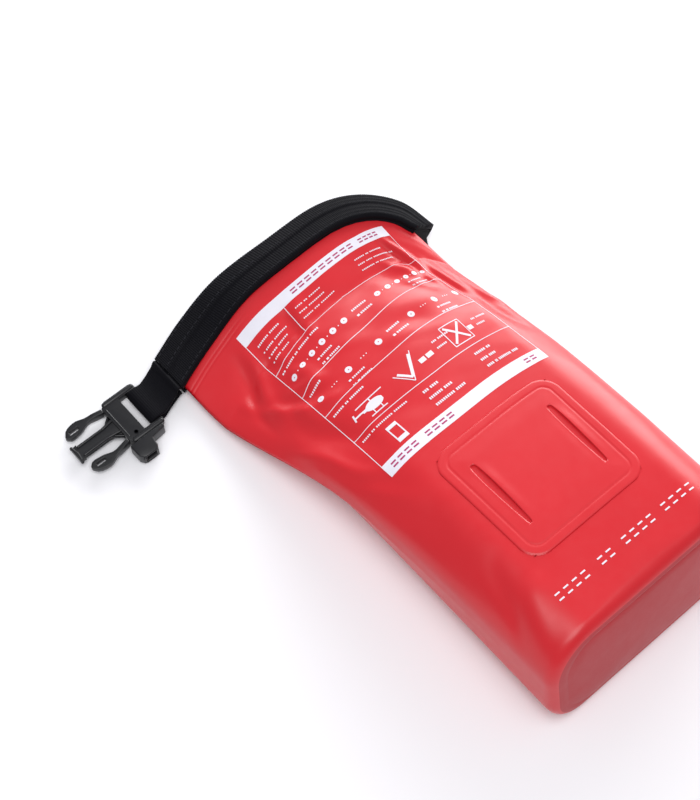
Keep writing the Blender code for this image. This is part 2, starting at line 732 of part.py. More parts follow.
def build_kit(foil, cotton, paper, nitrile):
    floor = FABRIC + GAP + TAPE_THICKNESS + PACK_FLOOR_GAP
    x, y, z = BLANKET_PACK
    blanket_y = PANEL_FLANGE + GAP + y / 2
    soft_block("rescue_blanket_pack", (0, blanket_y, floor + z / 2), BLANKET_PACK, foil, 4 * MM)
    deck = floor + z + GAP
    bandage_y = blanket_y + y / 2 + 2 * GAP + BANDAGE_PACK[1] / 2
    far_edge = bandage_y + BANDAGE_PACK[1] / 2
    bandage_floor = pouch_point(0.5, False, far_edge, FABRIC).z + 2 * GAP
    bandage_z = max(floor, bandage_floor) + BANDAGE_PACK[2] / 2
    soft_block("triangular_bandage_pack", (0, bandage_y, bandage_z), BANDAGE_PACK, cotton, 3 * MM)
    places = ((-1, 0, "gauze_roll_a"), (1, 0, "gauze_roll_b"), (-1, 1, "gauze_roll_c"))
    for side, row, name in places:
        across = side * (GAUZE_LENGTH / 2 + GAP)
        gauze_roll(name, (across, GAUZE_ROW_Y[row], deck + GAUZE_RADIUS), cotton)
    across = DRESSING_PACK[0] / 2 + GAP
    first_y = GAUZE_ROW_Y[1] - DRESSING_PACK[1] / 2 - GAP
    names = ("wound_dressing_pack", "glove_pack")
    for name, shift, material in zip(names, (0, 1), (paper, nitrile)):
        place = (across, first_y + shift * (DRESSING_PACK[1] + GAP), deck + DRESSING_PACK[2] / 2)
        soft_block(name, place, DRESSING_PACK, material)
    top = deck + 2 * GAUZE_RADIUS + GAP
    leaflet_y = (GAUZE_ROW_Y[0] + GAUZE_ROW_Y[1]) / 2
    soft_block("instruction_leaflet", (0, leaflet_y, top + LEAFLET[2] / 2), LEAFLET, paper, 1 * MM)


def build():
    for old in list(bpy.data.objects):
        bpy.data.objects.remove(old)
    red = make_material("red_tarpaulin", RED, 0.32)
    patch = make_material("red_patch", (0.75, 0.055, 0.065), 0.3)
    tape = make_material("seam_tape", (0.55, 0.06, 0.07), 0.4)
    webbing = make_material("black_webbing", BLACK, 0.8)
    thread = make_material("black_thread", (0.02, 0.02, 0.022), 0.7)
    plastic = make_material("black_plastic", (0.02, 0.02, 0.024), 0.38)
    stiff = make_material("stiffener_plastic", (0.6, 0.6, 0.6), 0.5)
    foil = make_material("foil_pack", (0.75, 0.7, 0.45), 0.3, 0.8)
    cotton = make_material("cotton_pack", (0.85, 0.84, 0.8), 0.9)
    paper = make_material("paper_pack", (0.88, 0.88, 0.9), 0.7)
    nitrile = make_material("glove_pack", (0.2, 0.35, 0.6), 0.5)
    build_pouch(red, red, tape, patch)
    build_roll(red, webbing, stiff)
    build_buckle(webbing, thread, plastic)
    build_kit(foil, cotton, paper, nitrile)


build()
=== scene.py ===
"""Looks of the roll-top first-aid pouch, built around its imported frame.

Units are metres.  +Y runs from the base to the rolled mouth, +Z is up.
"""
import json

import bmesh
import bpy
import numpy as np
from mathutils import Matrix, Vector
from mathutils.bvhtree import BVHTree


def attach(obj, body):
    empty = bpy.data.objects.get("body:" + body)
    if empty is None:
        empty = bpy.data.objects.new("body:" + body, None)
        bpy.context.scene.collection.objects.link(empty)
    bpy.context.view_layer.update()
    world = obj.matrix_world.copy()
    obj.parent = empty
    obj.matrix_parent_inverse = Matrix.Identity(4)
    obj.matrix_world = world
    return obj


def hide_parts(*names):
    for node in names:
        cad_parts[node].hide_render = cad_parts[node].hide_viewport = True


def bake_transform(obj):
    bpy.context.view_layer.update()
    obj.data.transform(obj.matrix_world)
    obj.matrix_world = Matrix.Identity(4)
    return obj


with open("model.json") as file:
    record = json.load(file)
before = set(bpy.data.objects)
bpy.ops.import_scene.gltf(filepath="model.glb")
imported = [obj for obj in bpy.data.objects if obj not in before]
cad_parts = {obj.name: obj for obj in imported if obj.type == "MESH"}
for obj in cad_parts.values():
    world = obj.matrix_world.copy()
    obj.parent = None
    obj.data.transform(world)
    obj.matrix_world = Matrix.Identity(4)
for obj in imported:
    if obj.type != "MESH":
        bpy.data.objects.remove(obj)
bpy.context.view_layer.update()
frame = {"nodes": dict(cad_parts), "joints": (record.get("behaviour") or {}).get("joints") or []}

MM = 0.001

# Sizes of the pouch, the same as the frame's
POUCH_DEPTH = 60 * MM
HALF_WIDTH_LEFT = 59.5 * MM
HALF_WIDTH_RIGHT = 61 * MM
BODY_LENGTH = 236 * MM
FABRIC = 0.6 * MM
FRONT_CORNER = 24 * MM
BACK_CORNER = 18 * MM
SIDE_HEIGHT = 30 * MM
BASE_SLANT = 12 * MM
TAPER_START = 0.47
ROLL_DEPTH = 7.5 * MM
BAND_WIDTH = 20 * MM
NECK_HALF_OPENING = 1.7 * MM
NECK_TUCK = 3 * MM                  # how far the fabric runs in under the band
BAND_INNER_EDGE = [
    (-77.5, 222.5, 8.6), (-54, 231, 12), (-27, 237, 19), (2, 237.5, 23.5),
    (30, 235, 25.5), (46, 228, 26.5), (55, 219, 26), (59.3, 210, 25),
]
BAND_OUTER_EDGE = [
    (-77.7, 243, 8.4), (-56, 250, 10.8), (-30, 255, 15), (2, 255.5, 17),
    (32, 256, 17.5), (52, 248.5, 16.8), (67, 232, 14.3), (71.8, 212, 10.5),
]

# Fineness of the pouch's skin
SKIN_AROUND = 116
SKIN_ALONG = 180
NECK_STATIONS = 48
BASE_EDGE_RADIUS = 5 * MM
BASE_EDGE_STEPS = 7
BASE_BULGE = 2.2 * MM
BASE_WELD = 0.35 * MM

# Fineness of the print, in millimetres except for its rise
PRINT_RISE = 0.14 * MM
PRINT_CELL = 0.9
TICK_PITCH = 1.0
TICK_SHARE = 0.66                   # how much of its pitch a tick fills
SOLID_HEIGHT = 2.0                  # marks as tall as this are drawn solid
THIN_LINE = 0.3
WORD = 0.85
TITLE = 0.9
MARK = 2.7
DISC_HOLE = 0.32


# ---- curves and surfaces ----


def smoothstep(low, high, value):
    share = np.clip((value - low) / (high - low), 0.0, 1.0)
    return share * share * (3.0 - 2.0 * share)


def spline(points, share):
    """Points on a smooth curve through the given ones, one for each share."""
    points = np.array(points, float)
    points = np.concatenate([[2 * points[0] - points[1]], points, [2 * points[-1] - points[-2]]])
    place = np.clip(np.atleast_1d(share), 0.0, 1.0) * (len(points) - 3)
    index = np.minimum(place.astype(int), len(points) - 4)
    t = (place - index)[..., None]
    p0, p1, p2, p3 = (points[index + step] for step in range(4))
    b = p2 - p0
    c = 2 * p0 - 5 * p1 + 4 * p2 - p3
    d = 3 * p1 - p0 - 3 * p2 + p3
    return 0.5 * (2 * p1 + b * t + c * t * t + d * t ** 3)


def unit(vectors):
    return vectors / np.linalg.norm(vectors, axis=-1, keepdims=True)


def band_frame(share):
    """Middle of the band's upper face with its along, across and up directions."""
    inner = spline(BAND_INNER_EDGE, share) * MM
    outer = spline(BAND_OUTER_EDGE, share) * MM
    low = np.clip(share - 0.01, 0, 1)
    high = np.clip(share + 0.01, 0, 1)
    before = spline(BAND_INNER_EDGE, low) + spline(BAND_OUTER_EDGE, low)
    after = spline(BAND_INNER_EDGE, high) + spline(BAND_OUTER_EDGE, high)
    along = unit(after - before)
    across = unit(outer - inner)
    up = unit(np.cross(along, across))
    return (inner + outer) / 2, np.cross(across, up), across, up


def band_point(share, across_by, up_by):
    centre, _, across, up = band_frame(share)
    return centre + across * np.asarray(across_by)[..., None] + up * np.asarray(up_by)[..., None]


def filled_half(share, front, inset):
    """Half of the filled cross-section, from the left fold to the right one."""
    radius = (FRONT_CORNER if front else BACK_CORNER) - inset
    left = HALF_WIDTH_LEFT - inset
    right = HALF_WIDTH_RIGHT - inset
    rise = (POUCH_DEPTH - SIDE_HEIGHT if front else SIDE_HEIGHT) - inset
    side = rise - radius
    arc = np.pi * radius / 2
    flat = left + right - 2 * radius
    run = share * (2 * side + 2 * arc + flat)
    turn_a = np.clip((run - side) / radius, 0, np.pi / 2)
    turn_b = np.clip((run - side - arc - flat) / radius, 0, np.pi / 2)
    level = np.clip(run - side - arc, 0, flat)
    x = -left + radius * (1 - np.cos(turn_a)) + level + radius * np.sin(turn_b)
    z = np.clip(run, 0, side) + radius * np.sin(turn_a) - radius * (1 - np.cos(turn_b))
    z = z - np.clip(run - side - 2 * arc - flat, 0, side)
    return x, SIDE_HEIGHT + (z if front else -z)


def mouth_point(share, front, inset):
    opening = (NECK_HALF_OPENING - inset) * np.sqrt(np.maximum(0, 1 - np.abs(2 * share - 1) ** 6))
    depth = -ROLL_DEPTH / 2 + (opening if front else -opening)
    narrowed = 0.008 + 0.984 * share
    _, along, _, _ = band_frame(narrowed)
    edge = band_point(narrowed, -BAND_WIDTH / 2 + NECK_TUCK * np.ones_like(share), depth)
    return edge + along * (inset * (1 - 2 * share))[..., None]


def pouch_point(share, front, y, inset=0.0):
    """Points of the smooth pouch wall, before any creases."""
    reach = BODY_LENGTH + NECK_TUCK
    lift_front = np.clip(y / (0.87 * BODY_LENGTH), 0.0, 1.0) ** 1.8
    lift_back = smoothstep(TAPER_START * BODY_LENGTH, 0.95 * BODY_LENGTH, y)
    lift_side = (lift_front + lift_back) / 2
    sideways = smoothstep(0.6, 1.0, np.abs(2 * share - 1))
    lift = (lift_front if front else lift_back) * (1 - sideways) + lift_side * sideways
    lift = np.maximum(lift, smoothstep(0.93 * BODY_LENGTH, BODY_LENGTH, y))
    x, z = filled_half(share, front, inset)
    slant = BASE_SLANT * np.maximum(0.0, 1 - y / (0.25 * BODY_LENGTH)) * (1 - z / POUCH_DEPTH)
    filled = np.stack([x, y - slant, z], -1)
    mouth = mouth_point(share, front, inset)
    mouth[..., 1] -= reach - y
    return filled + (mouth - filled) * lift[..., None]


# ---- creases ----
# Soft folds of the front, in millimetres across (from the middle line, along
# the cloth) and up the pouch: from, to, half-width and height.
FRONT_CREASES = [
    (-50, 218, -60, 176, 3.2, 1.2), (-56, 216, -68, 180, 3.0, -1.1),
    (-66, 200, -50, 164, 3.2, 1.3), (-62, 190, -40, 172, 3.4, -1.1),
    (-60, 168, -42, 128, 5.0, -1.1), (-70, 158, -52, 120, 4.0, 1.2),
    (-52, 186, -38, 176, 2.6, 0.9), (-54, 172, -38, 164, 3.0, 1.0),
    (-42, 216, -40, 180, 3.6, 1.0), (-48, 204, -36, 190, 2.6, -0.8),
    (-27, 220, -30, 202, 3.4, -1.1), (-22, 218, -26, 200, 2.6, 0.8),
    (-26, 196, -10, 190, 4.0, 0.5), (-16, 214, 2, 200, 5.0, -0.5),
    (30, 222, 34, 192, 2.4, 1.2), (25, 216, 30, 188, 3.0, -1.1),
    (16, 208, 28, 198, 2.6, 0.7), (20, 200, 34, 186, 3.0, 0.9),
    (36, 196, 40, 172, 3.4, -1.0), (41, 200, 46, 168, 3.6, 0.9),
    (8, 202, 24, 184, 4.5, -0.8), (14, 192, 30, 180, 3.0, 0.6),
    (-4, 188, 22, 172, 6.0, 0.6), (-24, 184, 0, 166, 5.0, 0.6),
    (-14, 176, 12, 164, 5.0, -0.5), (44, 176, 54, 140, 5.0, -1.2),
    (52, 190, 62, 158, 4.0, 0.9), (10, 158, 40, 148, 8.0, 0.4),
    (-40, 140, -14, 128, 8.0, -0.4), (-52, 96, -60, 40, 9.0, -0.5),
    (-58, 116, -50, 92, 5.0, 0.8), (-40, 30, -56, 12, 6.0, 0.9),
    (-46, 48, -62, 20, 4.5, -0.8), (50, 110, 58, 50, 8.0, 0.5),
    (-20, 8, 20, 10, 4.0, 0.2),
]
BACK_CREASES = [
    (-50, 200, -30, 150, 7.0, 1.2), (-20, 215, -8, 160, 6.0, -1.0),
    (12, 210, 26, 150, 7.0, 1.2), (40, 205, 52, 160, 6.0, -1.1),
    (-62, 180, -60, 120, 6.0, 1.0), (56, 150, 60, 90, 6.0, 0.9),
]
SIDE_WAVE = 0.5 * MM
CLOTH_MIDDLE = 1.25                 # where the middle line of the cloth lies, in millimetres


def crease_height(across, up, creases):
    """Sum of soft straight folds; across and up are in millimetres."""
    total = np.zeros_like(across)
    for x0, y0, x1, y1, width, height in creases:
        dx, dy = x1 - x0, y1 - y0
        length = np.hypot(dx, dy)
        along = ((across - x0) * dx + (up - y0) * dy) / length
        aside = ((across - x0) * dy - (up - y0) * dx) / length
        bend = aside + 1.2 * np.sin(along / 6.0 + x0)
        window = smoothstep(-0.35 * length, 0.25 * length, along)
        window *= 1 - smoothstep(0.75 * length, 1.35 * length, along)
        total += height * window * np.exp(-(bend / width) ** 2)
    return total * MM


def half_run(front):
    radius = FRONT_CORNER if front else BACK_CORNER
    rise = POUCH_DEPTH - SIDE_HEIGHT if front else SIDE_HEIGHT
    return 2 * (rise - radius) + np.pi * radius + HALF_WIDTH_LEFT + HALF_WIDTH_RIGHT - 2 * radius


def relief(share, front, y):
    """How far the creased skin stands off the smooth wall."""
    across = (share - 0.5) * half_run(front) / MM
    up = y / MM
    height = crease_height(across, up, FRONT_CREASES if front else BACK_CREASES)
    slow = np.sin(across * 0.061 + 1.3) * np.sin(up * 0.047 + 0.4)
    slow = slow + 0.6 * np.sin(across * 0.11 - up * 0.083 + 2.0)
    fine = np.sin(across * 0.31 + np.sin(up * 0.2) * 1.7) * np.sin(up * 0.27 + 1.1)
    upper = smoothstep(100, 150, up)
    height = height + SIDE_WAVE * slow * (0.25 + 0.75 * upper) + 0.07 * MM * fine * upper
    edge = 1 - np.abs(2 * share - 1) ** 8
    rest = 1.0 if front else smoothstep(0.4, 0.75, up / (BODY_LENGTH / MM))
    calm = 1 - smoothstep(212, 232, up) * 0.75
    weld = np.exp(-((up - 232.4) / 0.5) ** 2) + np.exp(-((up - 230.2) / 0.5) ** 2)
    corner = 1 - smoothstep(-52, -36, across) if front else 0.0
    return height * edge * rest * calm - 0.16 * MM * weld * corner


def skin_point(share, front, y, lift=0.0):
    """Points of the creased skin, raised by lift along its outward direction."""
    step_s, step_y = 1e-3, 0.4 * MM
    low_s, high_s = np.clip(share - step_s, 0, 1), np.clip(share + step_s, 0, 1)
    ds = pouch_point(high_s, front, y) - pouch_point(low_s, front, y)
    dy = pouch_point(share, front, y + step_y) - pouch_point(share, front, y - step_y)
    outward = unit(np.cross(ds, dy)) * (1 if front else -1)
    return pouch_point(share, front, y) + outward * (relief(share, front, y) + lift)[..., None]


def front_skin(x, y, lift=0.0):
    """The front skin at places in millimetres across the cloth and up the pouch."""
    x = np.asarray(x, float)
    y = np.asarray(y, float)
    share = 0.5 + (x - CLOTH_MIDDLE) * MM / half_run(True)
    return skin_point(share, True, y * MM, lift + np.zeros_like(share))


# ---- materials ----
# A noise is (scale, detail, roughness).  A bump layer is a noise or the pitch
# of a weave, with its strength and distance.
SCUFF = (160.0, 5.0, 0.65)
GRAIN = (1500.0, 2.0)
FUZZ = (900.0, 4.0, 0.7)
WEAR = (420.0, 5.0, 0.7)
CRUMPLE = (110.0, 6.0, 0.6)


def add_node(tree, kind, links=(), **values):
    """A new node with its values set and other nodes' outputs linked in."""
    node = tree.nodes.new(kind)
    for key, value in values.items():
        if key in node.inputs:
            node.inputs[key].default_value = value
        else:
            setattr(node, key, value)
    for source, socket in links:
        tree.links.new(source, node.inputs[socket])
    return node


def noise(tree, vector, scale, detail=4.0, rough=0.55):
    node = add_node(tree, "ShaderNodeTexNoise", [(vector, "Vector")],
                    Scale=scale, Detail=detail, Roughness=rough)
    return node.outputs["Fac"]


def weave(tree, vector, pitch):
    """Fine crossing threads of a coated scrim, as a height."""
    waves = []
    for axis in "XY":
        wave = add_node(tree, "ShaderNodeTexWave", [(vector, "Vector")],
                        Scale=0.314 / pitch, Distortion=0.0, bands_direction=axis)
        waves.append(wave.outputs["Fac"])
    links = [(waves[0], 0), (waves[1], 1)]
    return add_node(tree, "ShaderNodeMath", links, operation="MULTIPLY").outputs[0]


def surface(name, light, dark, cloud, scuff, roughness, layers, settings=None):
    """A material with clouded colour, scuffed gloss and layers of bump."""
    material = bpy.data.materials.new(name)
    material.use_nodes = True
    tree = material.node_tree
    shader = tree.nodes["Principled BSDF"]
    vector = add_node(tree, "ShaderNodeTexCoord").outputs["Object"]
    colour = add_node(tree, "ShaderNodeMix", [(noise(tree, vector, *cloud), "Factor")], data_type="RGBA")
    colour.inputs[6].default_value = (*dark, 1)
    colour.inputs[7].default_value = (*light, 1)
    tree.links.new(colour.outputs[2], shader.inputs["Base Color"])
    gloss = add_node(tree, "ShaderNodeMapRange", [(noise(tree, vector, *scuff), "Value")])
    gloss.inputs["To Min"].default_value, gloss.inputs["To Max"].default_value = roughness
    tree.links.new(gloss.outputs["Result"], shader.inputs["Roughness"])
    for socket, value in (settings or {}).items():
        shader.inputs[socket].default_value = value
    links = []
    for kind, strength, distance in layers:
        height = noise(tree, vector, *kind) if isinstance(kind, tuple) else weave(tree, vector, kind)
        layer = add_node(tree, "ShaderNodeBump", links + [(height, "Height")],
                         Strength=strength, Distance=distance)
        links = [(layer.outputs["Normal"], "Normal")]
    tree.links.new(layer.outputs["Normal"], shader.inputs["Normal"])
    return material


def tarpaulin(name, light, dark, roughness):
    layers = [(0.9 * MM, 0.05, 0.05 * MM), (GRAIN, 0.10, 0.06 * MM), (SCUFF, 0.12, 0.25 * MM)]
    return surface(name, light, dark, (28.0, 3.0), SCUFF, (roughness - 0.07, roughness + 0.09),
                   layers, {"Coat Weight": 0.1, "Coat Roughness": 0.2})


def ink_material(name, colour):
    worn = tuple(part * 0.93 for part in colour)
    return surface(name, colour, worn, WEAR, WEAR, (0.34, 0.5), [(GRAIN, 0.08, 0.05 * MM)])


def webbing_material(name, light, dark):
    layers = [((2600.0, 2.0), 0.5, 0.12 * MM), (FUZZ, 0.35, 0.15 * MM)]
    settings = {"Specular IOR Level": 0.1, "Sheen Weight": 0.015, "Sheen Roughness": 0.5}
    return surface(name, light, dark, FUZZ, (60.0, 3.0), (0.62, 0.85), layers, settings)


def plain_material(name, light, dark, roughness, scale, depth):
    grain = (scale, 5.0, 0.6)
    return surface(name, light, dark, grain, grain, (roughness - 0.08, roughness + 0.08),
                   [(1.1 * MM, 0.3, depth), (grain, 0.4, depth)])


RED_SKIN = tarpaulin("red_tarpaulin", (0.655, 0.010, 0.019), (0.575, 0.006, 0.013), 0.37)
RED_PATCH = tarpaulin("red_patch", (0.66, 0.012, 0.021), (0.59, 0.008, 0.015), 0.39)
# The base is the same red cloth with its colour darkened: painted shade, as the base faces away from the
# lamps.
RED_BASE_PAINTED_SHADE = tarpaulin("red_base_painted_shade", (0.46, 0.012, 0.020), (0.40, 0.009, 0.015), 0.52)
WHITE_INK = ink_material("white_ink", (0.80, 0.78, 0.86))
PINK_INK = ink_material("magenta_ink", (0.42, 0.03, 0.14))
BLACK_WEBBING = webbing_material("black_webbing", (0.0045, 0.0042, 0.0070), (0.0012, 0.0012, 0.0022))
BLACK_THREAD = webbing_material("black_thread", (0.030, 0.029, 0.036), (0.012, 0.012, 0.016))
BLACK_PLASTIC = surface(
    "black_acetal", (0.0078, 0.0078, 0.010), (0.0045, 0.0045, 0.006), (90.0, 4.0), (700.0, 5.0, 0.7),
    (0.28, 0.46), [((1900.0, 3.0), 0.22, 0.05 * MM)])


# ---- mesh helpers ----


def link(placed):
    bpy.context.scene.collection.objects.link(placed)
    return placed


def make_object(name, points, faces, materials):
    mesh = bpy.data.meshes.new(name)
    mesh.from_pydata([tuple(p) for p in np.asarray(points)], [], [list(map(int, f)) for f in faces])
    mesh.validate()
    mesh.update()
    for material in materials:
        mesh.materials.append(material)
    mesh.shade_smooth()
    return link(bpy.data.objects.new(name, mesh))


def object_from(name, bm, material):
    mesh = bpy.data.meshes.new(name)
    bm.to_mesh(mesh)
    bm.free()
    mesh.materials.append(material)
    mesh.shade_smooth()
    return link(bpy.data.objects.new(name, mesh))


def copy_node(node, name, material):
    """A separate copy of a CAD node in another material."""
    source = frame["nodes"][node]
    piece = source.copy()
    piece.data = source.data.copy()
    piece.name = name
    piece.parent = None
    piece.matrix_world = source.matrix_world
    piece.data.materials.clear()
    piece.data.materials.append(material)
    return link(piece)


def grid_faces(rows, columns, wrap=False):
    """Quads of a grid of rows by columns; wrap joins the last column to the first."""
    faces = []
    for row in range(rows - 1):
        for column in range(columns if wrap else columns - 1):
            a = row * columns + column
            b = row * columns + (column + 1) % columns
            faces.append((a, b, b + columns, a + columns))
    return faces


def join_rings(bm, rings):
    """Skin a row of vertex rings and close both ends."""
    count = len(rings[0])
    for first, second in zip(rings, rings[1:]):
        for step in range(count):
            after = (step + 1) % count
            bm.faces.new((first[step], first[after], second[after], second[step]))
    bm.faces.new(rings[0][::-1])
    bm.faces.new(rings[-1])


def recalculate(target):
    bm = bmesh.new()
    bm.from_mesh(target.data)
    bmesh.ops.recalc_face_normals(bm, faces=bm.faces)
    bm.to_mesh(target.data)
    bm.free()


def lofted(name, rings, material):
    """A tube through rings of points, closed at both ends."""
    rows, columns = len(rings), len(rings[0])
    last = (rows - 1) * columns
    faces = grid_faces(rows, columns, wrap=True)
    faces += [tuple(range(columns))[::-1], tuple(range(last, last + columns))]
    tube = make_object(name, np.concatenate(rings), faces, [material])
    recalculate(tube)
    return tube


def apply_modifiers(target):
    graph = bpy.context.evaluated_depsgraph_get()
    finished = bpy.data.meshes.new_from_object(target.evaluated_get(graph))
    target.modifiers.clear()
    target.data = finished


# ---- the pouch ----


def build_skin():
    """The coated fabric: outer and inner faces, the rounded base edge and the base."""
    shares = np.linspace(0, 1, SKIN_AROUND, endpoint=False)

    def creased_ring(y, lift=0.0):
        ys = np.full_like(shares, y)
        return grounded(skin_point(shares, True, ys, lift), skin_point(1 - shares, False, ys, lift))

    def smooth_ring(y, inset):
        ys = np.full_like(shares, y)
        return grounded(pouch_point(shares, True, ys, inset), pouch_point(1 - shares, False, ys, inset))

    def grounded(front, back):
        ring = np.concatenate([front, back])
        ring[:, 2] = np.maximum(ring[:, 2], 0.0)
        return ring

    fine_from = 0.93 * BODY_LENGTH
    stations = np.concatenate([
        np.linspace(BASE_EDGE_RADIUS, fine_from, SKIN_ALONG, endpoint=False),
        np.linspace(fine_from, BODY_LENGTH + NECK_TUCK - 0.5 * MM, NECK_STATIONS),
    ])
    inner = [creased_ring(y, -FABRIC) for y in stations[::-1]]
    inner.append(smooth_ring(stations[0] - 2 * MM, FABRIC))
    outer = []
    for step in range(BASE_EDGE_STEPS):
        angle = np.pi / 2 * (1 - step / BASE_EDGE_STEPS)
        height = BASE_EDGE_RADIUS * (1 - np.sin(angle))
        outer.append(smooth_ring(height, BASE_EDGE_RADIUS * (1 - np.cos(angle))))
    outer += [creased_ring(y) for y in stations]
    rim = outer[0]
    centre = rim.mean(axis=0)
    cap = []
    for scale in (0.985, 0.96, 0.935, 0.925, 0.90, 0.8, 0.65, 0.5, 0.35, 0.2, 0.1):
        ring = centre + (rim - centre) * scale
        ring[:, 1] -= BASE_BULGE * (1 - scale ** 2) ** 0.8
        if 0.91 < scale < 0.95:
            ring[:, 1] += BASE_WELD
        cap.append(ring)
    rings = cap[::-1] + outer + inner
    count = 2 * SKIN_AROUND
    faces = grid_faces(len(rings), count, wrap=True)
    faces.append(tuple(range(count))[::-1])
    skin = make_object("pouch_skin", np.concatenate(rings), faces, [RED_SKIN, RED_BASE_PAINTED_SHADE])
    recalculate(skin)
    # The base and the first step of its rounded edge take the darkened red, which is painted shade.
    cap_faces = (len(cap) + 1) * count
    for index, polygon in enumerate(skin.data.polygons):
        if index < cap_faces or index == len(faces) - 1:
            polygon.material_index = 1
    return skin


# ---- printed panel ----
# How the flat print lies on the filled pouch: places of its right edge, and
# how far its lines rise, at heights up the pouch, for five shares across.
PANEL_LEFT, PANEL_RIGHT = -47.0, 44.3
PANEL_TOP, PANEL_BOTTOM = 227.4, 111.5
BAR = 7.3
EDGE_HEIGHTS = (111, 119, 163, 185, 202, 227)
EDGE_PLACES = (44.5, 44.3, 42.0, 35.5, 34.8, 38.0)
RISE_HEIGHTS = (115, 139, 159, 177, 197, 220, 230)
RISES = (
    (0, 0, 0, 0, 0), (0, -1, -1.8, -1.4, -1), (0, 1, 1.7, 2.5, 3.7), (0, 2.5, 5, 7, 8),
    (0, 5, 8, 7, 5), (0, -0.2, 1.0, 1.8, 3.6), (0, -0.7, 0, 0.6, 3.5),
)


def panel_place(x, y):
    """Where a place of the flat panel comes to lie on the cloth."""
    share = (x - PANEL_LEFT) / (PANEL_RIGHT - PANEL_LEFT)
    right = np.interp(y, EDGE_HEIGHTS, EDGE_PLACES)
    column = [np.interp(y, RISE_HEIGHTS, rises) for rises in zip(*RISES)]
    rise = np.interp(share, np.linspace(0, 1, len(column)), column)
    return PANEL_LEFT + share * (right - PANEL_LEFT), y + rise


class Print:
    """Collects flat marks in millimetres and lays them on the front skin."""

    def __init__(self, skin_tree, lift=0.0):
        self.points = []
        self.faces = []
        self.skin_tree = skin_tree
        self.lift = lift
        self.on_panel = True

    def on_skin(self, xs, ys, rise):
        if self.on_panel:
            xs, ys = zip(*(panel_place(x, y) for x, y in zip(xs, ys)))
        found = []
        for point in front_skin(xs, ys):
            place, normal, _, _ = self.skin_tree.find_nearest(Vector(point))
            found.append(place + normal * rise)
        return found

    def area(self, columns, rows, place):
        """A small sheet: place(i, j) gives its corner grid in millimetres."""
        xs, ys = zip(*(place(i / columns, j / rows) for j in range(rows + 1) for i in range(columns + 1)))
        base = len(self.points)
        self.points += self.on_skin(xs, ys, PRINT_RISE + self.lift)
        self.points += self.on_skin(xs, ys, -PRINT_RISE)
        wide = columns + 1
        count = wide * (rows + 1)
        for j in range(rows):
            for i in range(columns):
                a = base + j * wide + i
                self.faces.append((a, a + 1, a + 1 + wide, a + wide))
                b = a + count
                self.faces.append((b, b + wide, b + 1 + wide, b + 1))
        rim = [(i, 0) for i in range(columns)] + [(columns, j) for j in range(rows)]
        rim += [(i, rows) for i in range(columns, 0, -1)] + [(0, j) for j in range(rows, 0, -1)]
        ids = [base + j * wide + i for i, j in rim]
        for a, b in zip(ids, ids[1:] + ids[:1]):
            self.faces.append((b, a, a + count, b + count))

    def box(self, x0, y0, x1, y1):
        columns = max(1, int(np.ceil(abs(x1 - x0) / PRINT_CELL)))
        rows = max(1, int(np.ceil(abs(y1 - y0) / PRINT_CELL)))
        self.area(columns, rows, lambda i, j: (x0 + (x1 - x0) * i, y0 + (y1 - y0) * j))

    def line(self, x0, y0, x1, y1, width):
        length = np.hypot(x1 - x0, y1 - y0)
        side = np.array([-(y1 - y0), x1 - x0]) / length * width / 2
        steps = max(1, int(np.ceil(length / PRINT_CELL)))

        def place(i, j):
            shift = side * (1 - 2 * j)
            return x0 + (x1 - x0) * i - shift[0], y0 + (y1 - y0) * i - shift[1]
        self.area(steps, 1, place)

    def disc(self, x, y, radius, hole=0.02):
        def place(i, j):
            angle = -2 * np.pi * i
            r = hole + (radius - hole) * j
            return x + r * np.cos(angle), y + r * np.sin(angle)
        self.area(16, 2, place)

    def dashes(self, x, y, lengths, height, gap=0.8):
        """A row of small plain ticks, or of solid bars where they are tall."""
        for length in lengths:
            pitch = TICK_PITCH if height < SOLID_HEIGHT else length
            count = max(1, int(round(length / pitch)))
            for index in range(count):
                start = x + index * length / count
                width = TICK_SHARE * length / count if count > 1 else length
                self.box(start, y, start + width, y + height)
            x += length + gap

    def marks(self, x, count, pitch, bands):
        """Pairs of plain bars in a row, between the heights of each band."""
        for index in range(count):
            start = x + pitch * index
            for low, high in bands:
                self.box(start, low, start + MARK, high)

    def list(self, left, y, pitch, lines, height):
        """Rows of ticks, one below the other."""
        for step, lengths in enumerate(lines):
            self.dashes(panel_x(left), y - pitch * step, lengths, height)

    def lines(self, x, y, strokes):
        """Strokes of a figure around its own place: two ends and a width."""
        for x0, y0, x1, y1, width in strokes:
            self.line(x + x0, y + y0, x + x1, y + y1, width)

    def finish(self, name, material):
        printed = make_object(name, self.points, self.faces, [material])
        recalculate(printed)
        printed.data.set_sharp_from_angle(angle=np.radians(40))
        return printed


def panel_y(share):
    """Height up the pouch at a share of the way down between the two bars."""
    top, bottom = PANEL_TOP - BAR, PANEL_BOTTOM + BAR
    return top + (bottom - top) * share


def panel_x(share):
    return PANEL_LEFT + (PANEL_RIGHT - PANEL_LEFT) * share


